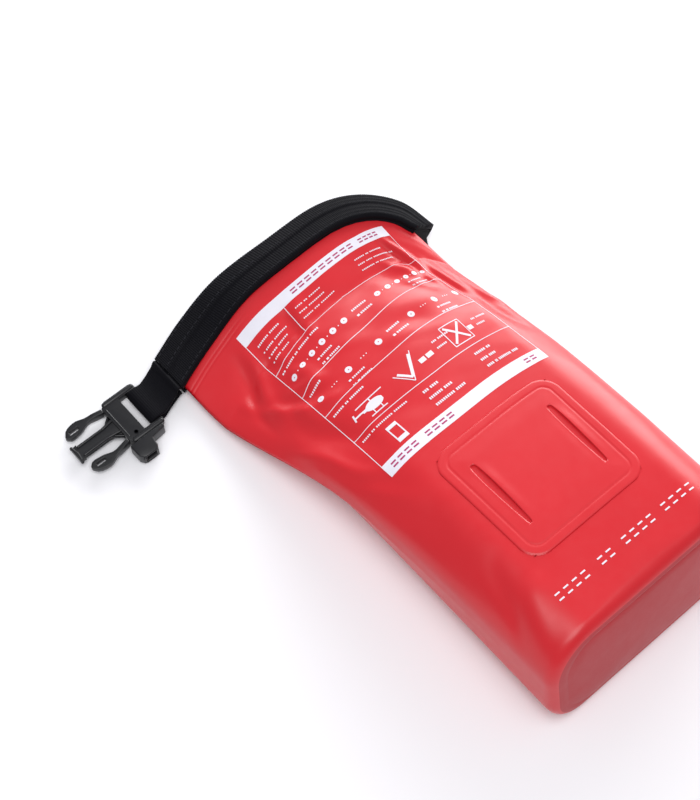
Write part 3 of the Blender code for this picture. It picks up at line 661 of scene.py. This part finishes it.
ROW_SHARES = (0.0, 0.225, 0.42, 0.60, 0.797, 1.0)
HELICOPTER_STROKES = (
    (-9.5, 0.9, -2.5, 0.4, 0.8), (-9.8, -0.6, -9.0, 2.8, 0.8), (-6.5, 4.0, 8.0, 4.0, 0.5),
    (0.8, 2.2, 0.8, 4.0, 0.6), (-3.5, -4.2, 5.0, -4.2, 0.5),
    (-1.0, -2.0, -1.0, -4.2, 0.45), (3.0, -2.0, 3.0, -4.2, 0.45),
)
TICK_STROKES = (
    (-4.4, 3.0, -0.2, -2.4, 1.1), (-0.2, -2.4, 5.2, 7.6, 1.1),
    (-6.4, 3.4, -0.6, -4.4, 0.4), (-0.6, -4.4, 6.6, 8.6, 0.4),
)
CROSS_STROKES = (
    (-4.4, 6.6, 4.4, -2.6, 1.1), (-4.4, -2.6, 4.4, 6.6, 1.1), (-5.8, 7.6, 5.8, 7.6, 0.4),
    (-5.8, -3.6, 5.8, -3.6, 0.4), (-5.8, -3.6, -5.8, 7.6, 0.4), (5.8, -3.6, 5.8, 7.6, 0.4),
)


def signal_chain(ink, x, y, count, pitch, radius, between):
    for index in range(count):
        ink.disc(x + index * pitch, y, radius, DISC_HOLE)
        if index + 1 < count:
            middle = x + (index + 0.5) * pitch
            for dot in range(between):
                ink.disc(middle + (dot - (between - 1) / 2) * 1.5, y, 0.28)


def build_print(skin_tree):
    ink = Print(skin_tree)
    ink.box(PANEL_LEFT, PANEL_TOP - BAR, PANEL_RIGHT, PANEL_TOP)
    ink.box(PANEL_LEFT, PANEL_BOTTOM, PANEL_RIGHT, PANEL_BOTTOM + BAR)
    for x in (PANEL_LEFT + 0.2, PANEL_RIGHT - 0.2):
        ink.line(x, PANEL_BOTTOM + BAR, x, PANEL_TOP - BAR, THIN_LINE)
    for share in ROW_SHARES[1:-1]:
        ink.line(PANEL_LEFT, panel_y(share), PANEL_RIGHT, panel_y(share), THIN_LINE)
    split = panel_x(0.26)
    ink.line(split, panel_y(0.0), split, panel_y(ROW_SHARES[1]), THIN_LINE)
    tops = [panel_y(share) for share in ROW_SHARES]
    titles = ((1, 3.9, (2.5, 6, 2, 7, 5)), (2, 3.9, (8.5,)), (3, 3.8, (6.5, 2, 8)), (4, 3.8, (5, 2, 9, 7)))
    for row, drop, lengths in titles:
        ink.dashes(panel_x(0.03), tops[row] - drop, lengths, TITLE)

    # first row: a short list on the left, two groups of three lines
    y = tops[0] - 5.6
    ink.dashes(panel_x(0.045), y, (7.0, 6.0), 1.0)
    for step in range(3):
        ink.disc(panel_x(0.05), y - 4.1 - 4.0 * step, 0.4)
    ink.list(0.065, y - 4.7, 4.0, ((5, 8), (4.5, 6.5), (4, 5)), WORD)
    ink.list(0.295, y - 1.0, 4.6, ((4, 2, 6.5), (4.5, 9), (5.5, 3, 8)), WORD)
    ink.list(0.66, y - 1.0, 4.6, ((6, 2, 8), (4, 4, 10, 3), (7.5, 2, 9)), WORD)

    # second and third row: signals, a pause, signals, and notes below them
    note = ((1.2, 7), (1.8, 1.2, 6))
    for y, count, dots, first, pause, second in (
        (tops[1] - 10.4, 6, 1, (6.55, 1.55, 0.19, 5.2), (0.475, 8), (0.625, 6.1, 1.5, 0.80, 4.8)),
        (tops[2] - 10.2, 3, 3, (17.0, 1.6, 0.20, 5.0), (0.49, 7), (0.63, 15.0, 1.5, 0.76, 4.6)),
    ):
        for pitch_of_note, (left, pitch, radius, below, drop) in ((3.2, (0.055, *first)), (3.0, second)):
            signal_chain(ink, panel_x(left), y, count, pitch, radius, dots)
            ink.list(below, y - drop, pitch_of_note, note, WORD)
        ink.list(pause[0], y + 0.6, 4.0, ((pause[1],), (1.2, 6.5)), 1.0)

    # fourth row: a helicopter, a tick and a cross, each with short words
    top = tops[3]
    draw_helicopter(ink, panel_x(0.17) + 1.6, top - 13.5)
    ink.lines(panel_x(0.385) + 2.4, top - 13.4, TICK_STROKES)
    ink.dashes(panel_x(0.385) + 8.6, top - 13.4, (3, 3.2), 2.2)
    ink.lines(panel_x(0.71) + 1.2, top - 13.2, CROSS_STROKES)
    ink.dashes(panel_x(0.71) + 7.6, top - 13.2, (3,), 2.2)
    for left in (0.585, 0.855):
        ink.list(left, top - 9.2, 3.6, ((2.6, 6), (5.5,)), WORD)

    # fifth row: a telephone and two groups of three lines
    top = tops[4]
    draw_phone(ink, panel_x(0.15) + 2.0, top - 13.0)
    ink.list(0.385, top - 6.0, 4.9, ((3, 4.2), (7, 4.2), (10, 5)), 1.45)
    ink.list(0.70, top - 6.0, 4.9, ((6.5, 2.4), (4.2, 4), (4, 1.5, 7.5, 3.6)), 1.45)

    # a spaced row of plain short bars below the belt patch
    ink.on_panel = False
    for start, count in ((-36.5, 4), (-12.0, 2), (2.0, 4), (25.5, 4)):
        ink.marks(start, count, 4.9, ((17.2, 17.9), (20.1, 20.8)))
    return ink.finish("printed_panel", WHITE_INK)


def draw_helicopter(ink, x, y):
    """A plain side view of a helicopter in a few solid shapes."""
    def body(i, j):
        along = -5.0 + 10.5 * i
        half = 2.4 * np.sqrt(max(0.02, 1 - ((along - 1.2) / 4.6) ** 2)) if along > -3.2 else 0.5
        return x + along, y + (j * 2 - 1) * half
    ink.area(14, 2, body)
    ink.lines(x, y, HELICOPTER_STROKES)


def draw_phone(ink, x, y):
    half, tall, edge = 2.7, 5.4, 0.6
    low, high = y - tall + 2.4, y + tall - 2.0
    ink.box(x - half, y - tall, x + half, low)
    ink.box(x - half, high, x + half, y + tall)
    ink.box(x - half, low, x - half + edge, high)
    ink.box(x + half - edge, low, x + half, high)


def build_bar_marks(skin_tree):
    """Plain coloured dashes where the white bars carry their titles."""
    ink = Print(skin_tree, lift=0.08 * MM)
    top = PANEL_TOP - BAR / 2
    bottom = PANEL_BOTTOM + BAR / 2
    for left, count, middle in ((0.33, 9, top), (0.75, 4, top), (0.04, 4, bottom),
                                (0.25, 4, bottom), (0.87, 2, bottom)):
        bands = ((middle + 0.55, middle + 1.35), (middle - 1.35, middle - 0.55))
        ink.marks(panel_x(left), count, 3.9, bands)
    return ink.finish("bar_marks", PINK_INK)


# ---- belt patch ----
PATCH_SIDE = 68.0
PATCH_CENTRE_Y = 70.0
PATCH_CORNER = 10.0
PATCH_CELLS = 136                   # half a millimetre, so the slits lie on its lines
SLIT_LENGTH = 38.0
SLIT_SPACING = 44.0
SLIT_WIDTH = 2.8


def rounded_square_distance(x, y, half, radius):
    """Signed distance to a rounded square, negative inside."""
    qx = np.abs(x) - (half - radius)
    qy = np.abs(y) - (half - radius)
    outside = np.hypot(np.maximum(qx, 0), np.maximum(qy, 0))
    return outside + np.minimum(np.maximum(qx, qy), 0) - radius


def patch_grid():
    """Even grid of a square, its corners pushed onto the rounded square."""
    half = PATCH_SIDE / 2
    line = (2 * (np.arange(PATCH_CELLS + 1) / PATCH_CELLS) - 1) * half
    xs, ys = (part.ravel() for part in np.meshgrid(line, line))
    outside = rounded_square_distance(xs, ys, half, PATCH_CORNER) > 0
    cx = np.sign(xs) * (half - PATCH_CORNER)
    cy = np.sign(ys) * (half - PATCH_CORNER)
    dx, dy = xs - cx, ys - cy
    length = np.maximum(np.hypot(dx, dy), 1e-9)
    xs = np.where(outside, cx + dx / length * PATCH_CORNER, xs)
    return xs, np.where(outside, cy + dy / length * PATCH_CORNER, ys)


def patch_height(x, y):
    """Height of the patch's face above the pouch skin, in millimetres."""
    edge = rounded_square_distance(x, y, PATCH_SIDE / 2, PATCH_CORNER)
    height = 0.5 * (1 - np.exp(edge / 0.3))
    height -= 0.24 * np.exp(-((edge + 4.6) / 0.42) ** 2)
    height += 0.25 * smoothstep(4.8, 14.0, -edge)
    for side in (-1, 1):
        along = 1 - smoothstep(0.35, 1.05, np.abs(y) / (SLIT_LENGTH / 2))
        offset = x - side * SLIT_SPACING / 2
        height += (0.35 + 0.25 * y / SLIT_LENGTH) * along * np.exp(-((offset - 2.4) / 2.4) ** 2)
        height -= 0.2 * along * np.exp(-((offset + 2.0) / 2.2) ** 2)
    return height


def slit_width(y):
    """Opening of a slit along its length: rounded ends, wider towards the mouth."""
    share = np.clip(1 - (y / (SLIT_LENGTH / 2)) ** 2, 0, 1)
    return SLIT_WIDTH * (0.2 + 0.8 * share ** 0.3) * (1.0 + 0.5 * np.clip(y / SLIT_LENGTH, -1, 1))


def draw_to_slits(xs, ys):
    """Move the cells beside each slit so that its opening gets its width."""
    spread = 5.0
    for side in (-1, 1):
        offset = xs - side * SLIT_SPACING / 2
        size = np.abs(offset)
        edge = SLIT_WIDTH / 2
        wanted = slit_width(ys) / 2
        inner = size * wanted / edge
        outer = wanted + (size - edge) * (spread - wanted) / (spread - edge)
        moved = np.where(size <= edge, inner, outer)
        reach = (size < spread) & (np.abs(ys) <= SLIT_LENGTH / 2)
        xs = np.where(reach, side * SLIT_SPACING / 2 + np.sign(offset) * moved, xs)
    return xs


def build_patch():
    """The welded belt patch, with a welded border and two slits."""
    flat_xs, ys = patch_grid()
    xs = draw_to_slits(flat_xs, ys)
    heights = patch_height(xs, ys)
    top = front_skin(xs + CLOTH_MIDDLE, ys + PATCH_CENTRE_Y, 0.0)
    outward = unit(front_skin(xs + CLOTH_MIDDLE, ys + PATCH_CENTRE_Y, 1.0) - top)
    upper = top + outward * (np.maximum(heights, 0.02) * MM)[:, None]
    faces = []
    for quad in grid_faces(PATCH_CELLS + 1, PATCH_CELLS + 1):
        middle_x = abs(np.mean(flat_xs[list(quad)]))
        middle_y = abs(np.mean(ys[list(quad)]))
        if abs(middle_x - SLIT_SPACING / 2) >= SLIT_WIDTH / 2 or middle_y >= SLIT_LENGTH / 2:
            faces.append(quad)
    patch = make_object("belt_patch", upper, faces, [RED_PATCH])
    modifier = patch.modifiers.new("thickness", "SOLIDIFY")
    modifier.thickness = 0.7 * MM
    modifier.offset = -1.0
    apply_modifiers(patch)
    patch.data.shade_smooth()
    return patch


# ---- band and tabs ----
RIB_PITCH = 1.0 * MM
RIB_HEIGHT = 0.1 * MM
BAND_STATIONS = 900
BAND_LENGTH = 166 * MM
STITCH_PITCH = 3.0 * MM
STITCH_RADIUS = 0.22 * MM


def band_profile(share, rib):
    """Closed outline of the webbing that wraps the roll: (across, up) pairs."""
    half = BAND_WIDTH / 2
    outer = []
    layered = float(smoothstep(0.45, 0.9, share))
    step_place = 0.4 + 1.6 * layered
    for step in range(41):
        across = -half + 2 * half * step / 40
        place = across / MM
        height = 1.35 * float(smoothstep(-10.0, -8.9, place)) - 0.55
        height += 0.75 * float(smoothstep(step_place - 0.35, step_place + 0.35, place))
        height -= 0.5 * float(smoothstep(step_place + 1.0, 10.0, place)) * (1 - layered)
        for fold in (-5.4, -2.2, 5.2, 8.0):
            height += layered * 0.5 * np.exp(-((place - fold) / 0.55) ** 2)
        outer.append((across, height * MM + rib))
    turn = ROLL_DEPTH / 2
    top = outer[-1][1]
    for step in range(1, 10):
        angle = np.pi / 2 - np.pi * step / 9
        up = -turn + (turn + rib) * np.sin(angle) + max(0.0, np.sin(angle)) * (top - rib)
        outer.append((half + (turn * 0.5 + rib) * np.cos(angle), up))
    for step in range(1, 13):
        outer.append((half * (1 - 1.96 * step / 12), -2 * turn - rib))
    thickness = 1.2 * MM
    inner = []
    for across, up in outer[::-1]:
        if up < -turn * 1.6:
            inner.append((min(across, half - 0.3 * MM), -2 * turn + thickness))
        elif across >= half:
            inner.append((half - 0.2 * MM, float(np.clip(up, -2 * turn + thickness, -thickness))))
        else:
            inner.append((across, min(up - rib, 0.0) - thickness))
    return outer + inner


def build_band():
    rings = []
    for share in np.linspace(0, 1, BAND_STATIONS):
        rib = RIB_HEIGHT * np.cos(2 * np.pi * share * BAND_LENGTH / RIB_PITCH)
        profile = np.array(band_profile(share, rib))
        rings.append(band_point(np.full(len(profile), share), profile[:, 0], profile[:, 1]))
    return lofted("mouth_band", rings, BLACK_WEBBING)


def capsule(bm, start, end, radius, sides=8):
    """A short rounded stitch between two points."""
    axis = (end - start).normalized()
    side = axis.orthogonal().normalized()
    other = axis.cross(side)
    rings = []
    for along, size in ((0.0, 0.35), (0.15, 0.85), (0.5, 1.0), (0.85, 0.85), (1.0, 0.35)):
        centre = start.lerp(end, along)
        ring = []
        for step in range(sides):
            angle = 2 * np.pi * step / sides
            offset = side * np.cos(angle) + other * np.sin(angle)
            ring.append(bm.verts.new(centre + offset * radius * size))
        rings.append(ring)
    join_rings(bm, rings)


def build_band_stitches():
    bm = bmesh.new()
    count = int(BAND_LENGTH / STITCH_PITCH)
    for row, height in ((-8.0 * MM, 0.85 * MM), (2.6 * MM, 1.5 * MM), (9.2 * MM, 1.05 * MM)):
        for index in range(1, count):
            share = index / count
            half = 0.36 / count
            places = np.array([share - half, share + half])
            ends = band_point(places, np.full(2, row), np.full(2, height))
            capsule(bm, Vector(ends[0]), Vector(ends[1]), STITCH_RADIUS)
    return object_from("band_stitches", bm, BLACK_THREAD)


# ---- webbing tabs ----
WEBBING = 1.3 * MM
BAR_RADIUS = 1.6 * MM
TAB_CLEARANCE = 0.3 * MM
TAB_ROWS = 9
FEMALE_TAB_LENGTH = 27 * MM

JOINTS = {joint["name"]: joint for joint in frame["joints"]}


def joint_place(name):
    return np.array(JOINTS[name]["pos_m"], float)


def tab_outline(length, root_lift, ridge):
    """Closed (along, up) outline of the looped webbing, with its cross ribs."""
    turn = BAR_RADIUS + TAB_CLEARANCE + WEBBING / 2
    lead = 0.9 * MM
    spacing = 0.2 * MM
    along = np.arange(-1.4 * MM, length, spacing)
    rise = lead + (turn - lead) * smoothstep(0.35 * length, length, along)
    lift = root_lift * (1 - np.clip(along / (0.75 * length), 0, 1)) ** 1.3
    lift = lift + ridge * np.exp(-((along - 0.4 * MM) / (1.1 * MM)) ** 2)
    upper = np.stack([along, rise + lift], 1)
    angles = np.linspace(np.pi / 2, -np.pi / 2, int(np.pi * turn / spacing))[1:-1]
    bend = np.stack([length + turn * np.cos(angles), turn * np.sin(angles)], 1)
    lower = np.stack([along, -rise], 1)[::-1]
    path = np.concatenate([upper, bend, lower])
    tangent = np.gradient(path, axis=0)
    normal = unit(np.stack([-tangent[:, 1], tangent[:, 0]], 1))
    travelled = np.concatenate([[0], np.cumsum(np.linalg.norm(np.diff(path, axis=0), axis=1))])
    rib = 0.07 * MM * np.cos(2 * np.pi * travelled / RIB_PITCH)
    outside = path + normal * (WEBBING / 2 + rib)[:, None]
    inside = path - normal * (WEBBING / 2)
    return outside, inside


def build_tab(name, length, place, root_lift, ridge):
    """A ribbed webbing loop; place(along, aside, up) puts its points in the world."""
    outside, inside = tab_outline(length, root_lift, ridge)
    half = BAND_WIDTH / 2 - 0.1 * MM
    rings = []
    for row in range(TAB_ROWS):
        aside = half * np.sin(np.pi / 2 * (2 * row / (TAB_ROWS - 1) - 1))
        pinch = 0.45 if row in (0, TAB_ROWS - 1) else 0.0
        middle = (outside + inside) / 2
        outer = outside + (middle - outside) * pinch
        inner = inside + (middle - inside) * pinch
        outline = np.concatenate([outer, inner[::-1]])
        rings.append(np.array([place(u, aside, w) for u, w in outline]))
    count = len(rings[0])
    faces = grid_faces(TAB_ROWS, count, wrap=True)
    strip = len(outside)
    for row, flip in ((0, True), (TAB_ROWS - 1, False)):
        base = row * count
        for index in range(strip - 1):
            opposite = base + count - 1 - index
            quad = (base + index, base + index + 1, opposite - 1, opposite)
            faces.append(quad[::-1] if flip else quad)
    tab = make_object(name, np.concatenate(rings), faces, [BLACK_WEBBING])
    recalculate(tab)
    return tab


def male_tab_place(along, aside, up):
    fold = joint_place("male_tab_fold")
    bar = joint_place("male_buckle_pivot")
    length = fold[0] - bar[0]
    skew = (fold[1] - bar[1]) * float(np.clip(along / (0.7 * length), 0, 1))
    return fold + np.array([-along, -aside - skew, up])


def female_tab_place(along, aside, up):
    """The strap end twists from the end of the band round to the buckle's bar."""
    bar = joint_place("female_buckle_pivot")
    bar_axis = unit(np.array(JOINTS["female_buckle_pivot"]["axis"], float))
    heading = np.array([bar_axis[1], -bar_axis[0], 0.0])
    _, root_along, root_across, root_up = (part[0] for part in band_frame(np.array([1.0])))
    root = band_point(np.array([1.0]), 0.0, -ROLL_DEPTH / 2)[0] - root_along * 1.5 * MM
    length = FEMALE_TAB_LENGTH
    t = float(np.clip(along / length, 0.0, 1.0))
    s = 1 - t
    first = root + root_along * 3 * MM - root_up * 9 * MM
    second = bar - heading * 8 * MM
    centre = s ** 3 * root + 3 * t * s ** 2 * first + 3 * t * t * s * second + t ** 3 * bar
    turn = float(smoothstep(0.0, 1.0, t))
    width = unit(root_across * (1 - turn) + bar_axis * turn)
    tangent = unit(3 * s ** 2 * (first - root) + 6 * t * s * (second - first) + 3 * t * t * (bar - second))
    normal = unit(np.cross(width, tangent))
    if normal[2] < 0 and t > 0.5:
        normal = -normal
    gather = 1 - 0.3 * np.sin(np.pi * t)
    beyond = along - length if along > length else min(along, 0.0)
    return centre + tangent * beyond + width * aside * gather + normal * up


def refined_copy(node, name, material, bevel):
    """A copy of a CAD node with softened edges."""
    piece = copy_node(node, name, material)
    bm = bmesh.new()
    bm.from_mesh(piece.data)
    bmesh.ops.remove_doubles(bm, verts=bm.verts, dist=1e-6)
    bmesh.ops.dissolve_limit(bm, angle_limit=np.radians(2), verts=bm.verts, edges=bm.edges)
    bm.to_mesh(piece.data)
    bm.free()
    modifier = piece.modifiers.new("soften", "BEVEL")
    modifier.width = bevel
    modifier.segments = 3
    modifier.limit_method = "ANGLE"
    modifier.angle_limit = np.radians(28)
    apply_modifiers(piece)
    piece.data.shade_smooth()
    piece.data.set_sharp_from_angle(angle=np.radians(40))
    return piece


# ---- buckle details ----
# In the buckle's own axes: along from the strap bar to the prongs, aside
# towards the base of the pouch, and up.
PLATE_HALF_WIDTH = 13.5 * MM
PLATE_END = 16.6 * MM
PLATE_TOP = 2.2 * MM
TONGUE_TOP = 1.2 * MM
TONGUE_HALF_WIDTH = 3.0 * MM
TONGUE_END = 40.0 * MM
PORT_SIDES = 20


def rounded_bar(bm, start, end, radius, squash=1.0, sides=12, steps=5):
    """A bar with domed ends between two points given in the buckle's axes."""
    start, end = np.array(start, float), np.array(end, float)
    axis = unit(end - start)
    side = unit(np.cross(axis, (0.0, 0.0, 1.0)))
    top = np.cross(side, axis)
    rings = []
    for centre, direction in ((start, -1), (end, 1)):
        angles = np.linspace(0, np.pi / 2 * 0.9, steps)
        for angle in (angles[::-1] if direction < 0 else angles):
            place = centre + axis * direction * radius * np.sin(angle)
            size = radius * np.cos(angle)
            ring = []
            for step in range(sides):
                turn = 2 * np.pi * step / sides
                offset = side * np.cos(turn) + top * np.sin(turn) * squash
                ring.append(bm.verts.new(to_buckle(place + offset * size)))
            rings.append(ring)
    join_rings(bm, rings)


def to_buckle(place):
    bar = joint_place("male_buckle_pivot")
    return bar + np.array([-place[0], -place[1], place[2]])


def build_buckle_trim():
    """Raised side rails, the tongue's edges and foot, and a rib across the plate.

    Each bar is (start, end, radius, squash) in millimetres; most come in
    mirrored pairs.
    """
    end, top, tip = PLATE_END / MM, PLATE_TOP / MM, TONGUE_END / MM
    edge = (TONGUE_HALF_WIDTH - 0.35 * MM) / MM
    rail = (PLATE_HALF_WIDTH - 1.5 * MM) / MM
    pairs = [
        ((-1.2, rail, top - 0.5), (end - 2.4, rail, top - 0.5), 1.45, 0.75),
        ((tip - 1.4, 0, 0), (tip - 0.6, 4.4, 0), 0.85, 1.6),
        ((end - 0.4, 6.6, 0), (end + 4.5, 2.6, 0), 0.8, 1.4),
    ]
    for face in (-TONGUE_TOP / MM, TONGUE_TOP / MM):
        pairs.append(((end - 0.6, edge * 1.35, face), (end + 6, edge, face), 0.75, 1.0))
        pairs.append(((end + 6, edge, face), (tip - 3.4, edge, face), 0.7, 1.0))
    mirror = np.array([1, -1, 1])
    bars = [((end - 1.3, -9.0, top - 0.25), (end - 1.3, 9.0, top - 0.25), 0.55, 1.0)]
    for start, stop, radius, squash in pairs:
        bars.append((start, stop, radius, squash))
        bars.append((start * mirror, stop * mirror, radius, squash))
    bm = bmesh.new()
    for start, stop, radius, squash in bars:
        rounded_bar(bm, np.array(start) * MM, np.array(stop) * MM, radius * MM, squash)
    return object_from("buckle_trim", bm, BLACK_PLASTIC)


def build_whistle_port():
    """The small sound hole in the plate: a sunk ring closed by a disc in the blacker webbing material,
    painted shade for the inside of the hole.
    """
    centre = np.array([PLATE_END - 5.2 * MM, PLATE_HALF_WIDTH - 4.4 * MM, PLATE_TOP + 0.02 * MM])
    angles = 2 * np.pi * np.arange(PORT_SIDES) / PORT_SIDES
    rings = []
    for radius, height in ((1.15, 0.0), (1.1, 0.14), (0.9, 0.16), (0.8, 0.05), (0.75, 0.0)):
        offsets = np.stack([radius * np.cos(angles), radius * np.sin(angles), height + 0 * angles], 1) * MM
        rings.append([to_buckle(centre + offset) for offset in offsets])
    # The blacker webbing material here is painted shade for the inside of the hole.
    return lofted("whistle_port_painted_shade", rings, BLACK_WEBBING)


def thin_paddle(prong, share=0.62, start=0.021):
    """Prongs get thinner where they widen into their paddles."""
    bar = joint_place("male_buckle_pivot")
    for vertex in prong.data.vertices:
        reach = bar[0] - vertex.co.x
        thinning = 1 - (1 - share) * float(smoothstep(start, start + 0.006, reach))
        vertex.co.z = bar[2] + (vertex.co.z - bar[2]) * thinning


# ---- pieces inside ----


GAUZE_NODES = ("gauze_roll_a", "gauze_roll_b", "gauze_roll_c")
PAPER_NODES = ("triangular_bandage_pack", "wound_dressing_pack", "instruction_leaflet")
INNER_LOOKS = (
    (GAUZE_NODES, "gauze", (0.86, 0.85, 0.81), (0.70, 0.69, 0.65), 0.9, 700.0, 0.3 * MM),
    (PAPER_NODES, "wrapping_paper", (0.84, 0.85, 0.88), (0.74, 0.75, 0.79), 0.55, 300.0, 0.1 * MM),
    (("glove_pack",), "blue_film", (0.14, 0.30, 0.55), (0.09, 0.20, 0.42), 0.3, 200.0, 0.2 * MM),
    (("seam_tape",), "inner_tape", (0.45, 0.02, 0.03), (0.36, 0.015, 0.02), 0.6, 500.0, 0.1 * MM),
    (("mouth_stiffener",), "stiffener_strip", (0.72, 0.72, 0.70), (0.62, 0.62, 0.60), 0.45, 250.0, 0.05 * MM),
)


def dress_inner_nodes():
    looks = [(nodes, plain_material(*look)) for nodes, *look in INNER_LOOKS]
    foil = surface("folded_foil", (0.83, 0.70, 0.38), (0.55, 0.42, 0.16), CRUMPLE, CRUMPLE, (0.12, 0.34),
                   [(CRUMPLE, 0.7, 1.2 * MM)], {"Metallic": 1.0})
    for nodes, material in [*looks, (["rescue_blanket_pack"], foil)]:
        for node in nodes:
            for slot in frame["nodes"][node].material_slots:
                slot.link = "OBJECT"
                slot.material = material


# ---- stage ----
FLOOR_HALF = 3.0
FLOOR_GAP = 0.2 * MM


def build_stage():
    half = FLOOR_HALF
    corners = [(-half, -half, 0), (half, -half, 0), (half, half, 0), (-half, half, 0)]
    floor = make_object("floor", corners, [(0, 1, 2, 3)], [])
    material = bpy.data.materials.new("white_floor")
    material.use_nodes = True
    shader = material.node_tree.nodes["Principled BSDF"]
    shader.inputs["Base Color"].default_value = (0.93, 0.925, 0.95, 1)
    shader.inputs["Roughness"].default_value = 0.6
    floor.data.materials.append(material)
    floor.location.z = -FLOOR_GAP


def add_area(name, place, target, size, power):
    light = bpy.data.lights.new(name, "AREA")
    light.shape = "RECTANGLE"
    light.size, light.size_y = size
    light.energy = power
    lamp = bpy.data.objects.new(name, light)
    lamp.location = place
    direction = Vector(target) - Vector(place)
    lamp.rotation_euler = direction.to_track_quat("-Z", "Y").to_euler()
    link(lamp)


def build_lights():
    world = bpy.data.worlds.new("studio")
    world.use_nodes = True
    background = world.node_tree.nodes["Background"]
    background.inputs["Color"].default_value = (0.95, 0.96, 1.0, 1)
    background.inputs["Strength"].default_value = 0.44
    bpy.context.scene.world = world
    aim = (0, 0.12, 0.02)
    add_area("rim", (0.96, 0.85, 0.40), aim, (1.35, 0.66), 20)
    add_area("top", (-0.25, -0.15, 1.25), aim, (0.9, 0.9), 10.5)


def build_camera():
    azimuth, elevation = np.radians(-41.0), np.radians(61.5)
    distance = 0.810
    aim = Vector((-0.0192, 0.1691, 0.0))
    level = np.cos(elevation)
    back = Vector((np.sin(azimuth) * level, -np.cos(azimuth) * level, np.sin(elevation)))
    data = bpy.data.cameras.new("camera")
    data.lens = 76.5
    data.sensor_width = 36.0
    data.clip_start = 0.01
    camera = bpy.data.objects.new("camera", data)
    camera.location = aim + back * distance
    camera.rotation_euler = (-back).to_track_quat("-Z", "Y").to_euler()
    bpy.context.scene.camera = link(camera)


# ---- assembly ----

build_stage()
build_lights()
build_camera()

skin = build_skin()
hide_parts("bag_shell", "base_panel")
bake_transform(skin)

skin_points = [vertex.co for vertex in skin.data.vertices]
skin_tree = BVHTree.FromPolygons(skin_points, [polygon.vertices for polygon in skin.data.polygons])
for printed in (build_print(skin_tree), build_bar_marks(skin_tree)):
    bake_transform(printed)

patch = build_patch()
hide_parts("strap_patch")
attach(patch, "pouch")

band = build_band()
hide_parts("mouth_webbing_front", "mouth_webbing_back")
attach(band, "rolled_mouth")
stitches = build_band_stitches()
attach(stitches, "rolled_mouth")
core = copy_node("mouth_roll", "roll_core", BLACK_WEBBING)
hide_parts("mouth_roll")
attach(core, "rolled_mouth")

for node, body, bevel in (
    ("male_buckle_frame", "male_buckle", 0.5 * MM),
    ("whistle_body", "male_buckle", 0.7 * MM),
    ("prong_left", "left_prong", 0.5 * MM),
    ("prong_right", "right_prong", 0.5 * MM),
    ("female_buckle_shell", "female_buckle", 0.5 * MM),
):
    piece = refined_copy(node, node + "_fine", BLACK_PLASTIC, bevel)
    if node.startswith("prong"):
        thin_paddle(piece)
    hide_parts(node)
    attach(piece, body)

for detail in (build_buckle_trim(), build_whistle_port()):
    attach(detail, "male_buckle")
dress_inner_nodes()

fold = joint_place("male_tab_fold")
bar = joint_place("male_buckle_pivot")
male_tab = build_tab("male_tab_fine", float(fold[0] - bar[0]), male_tab_place, 3.0 * MM, 1.3 * MM)
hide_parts("male_tab_webbing", "male_tab_bartack")
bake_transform(male_tab)

female_tab = build_tab("female_tab_fine", FEMALE_TAB_LENGTH, female_tab_place, 0.0, 0.0)
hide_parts("female_tab_webbing", "female_tab_bartack")
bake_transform(female_tab)

view_settings = bpy.context.scene.view_settings
view_settings.view_transform = "Standard"
view_settings.look = "None"
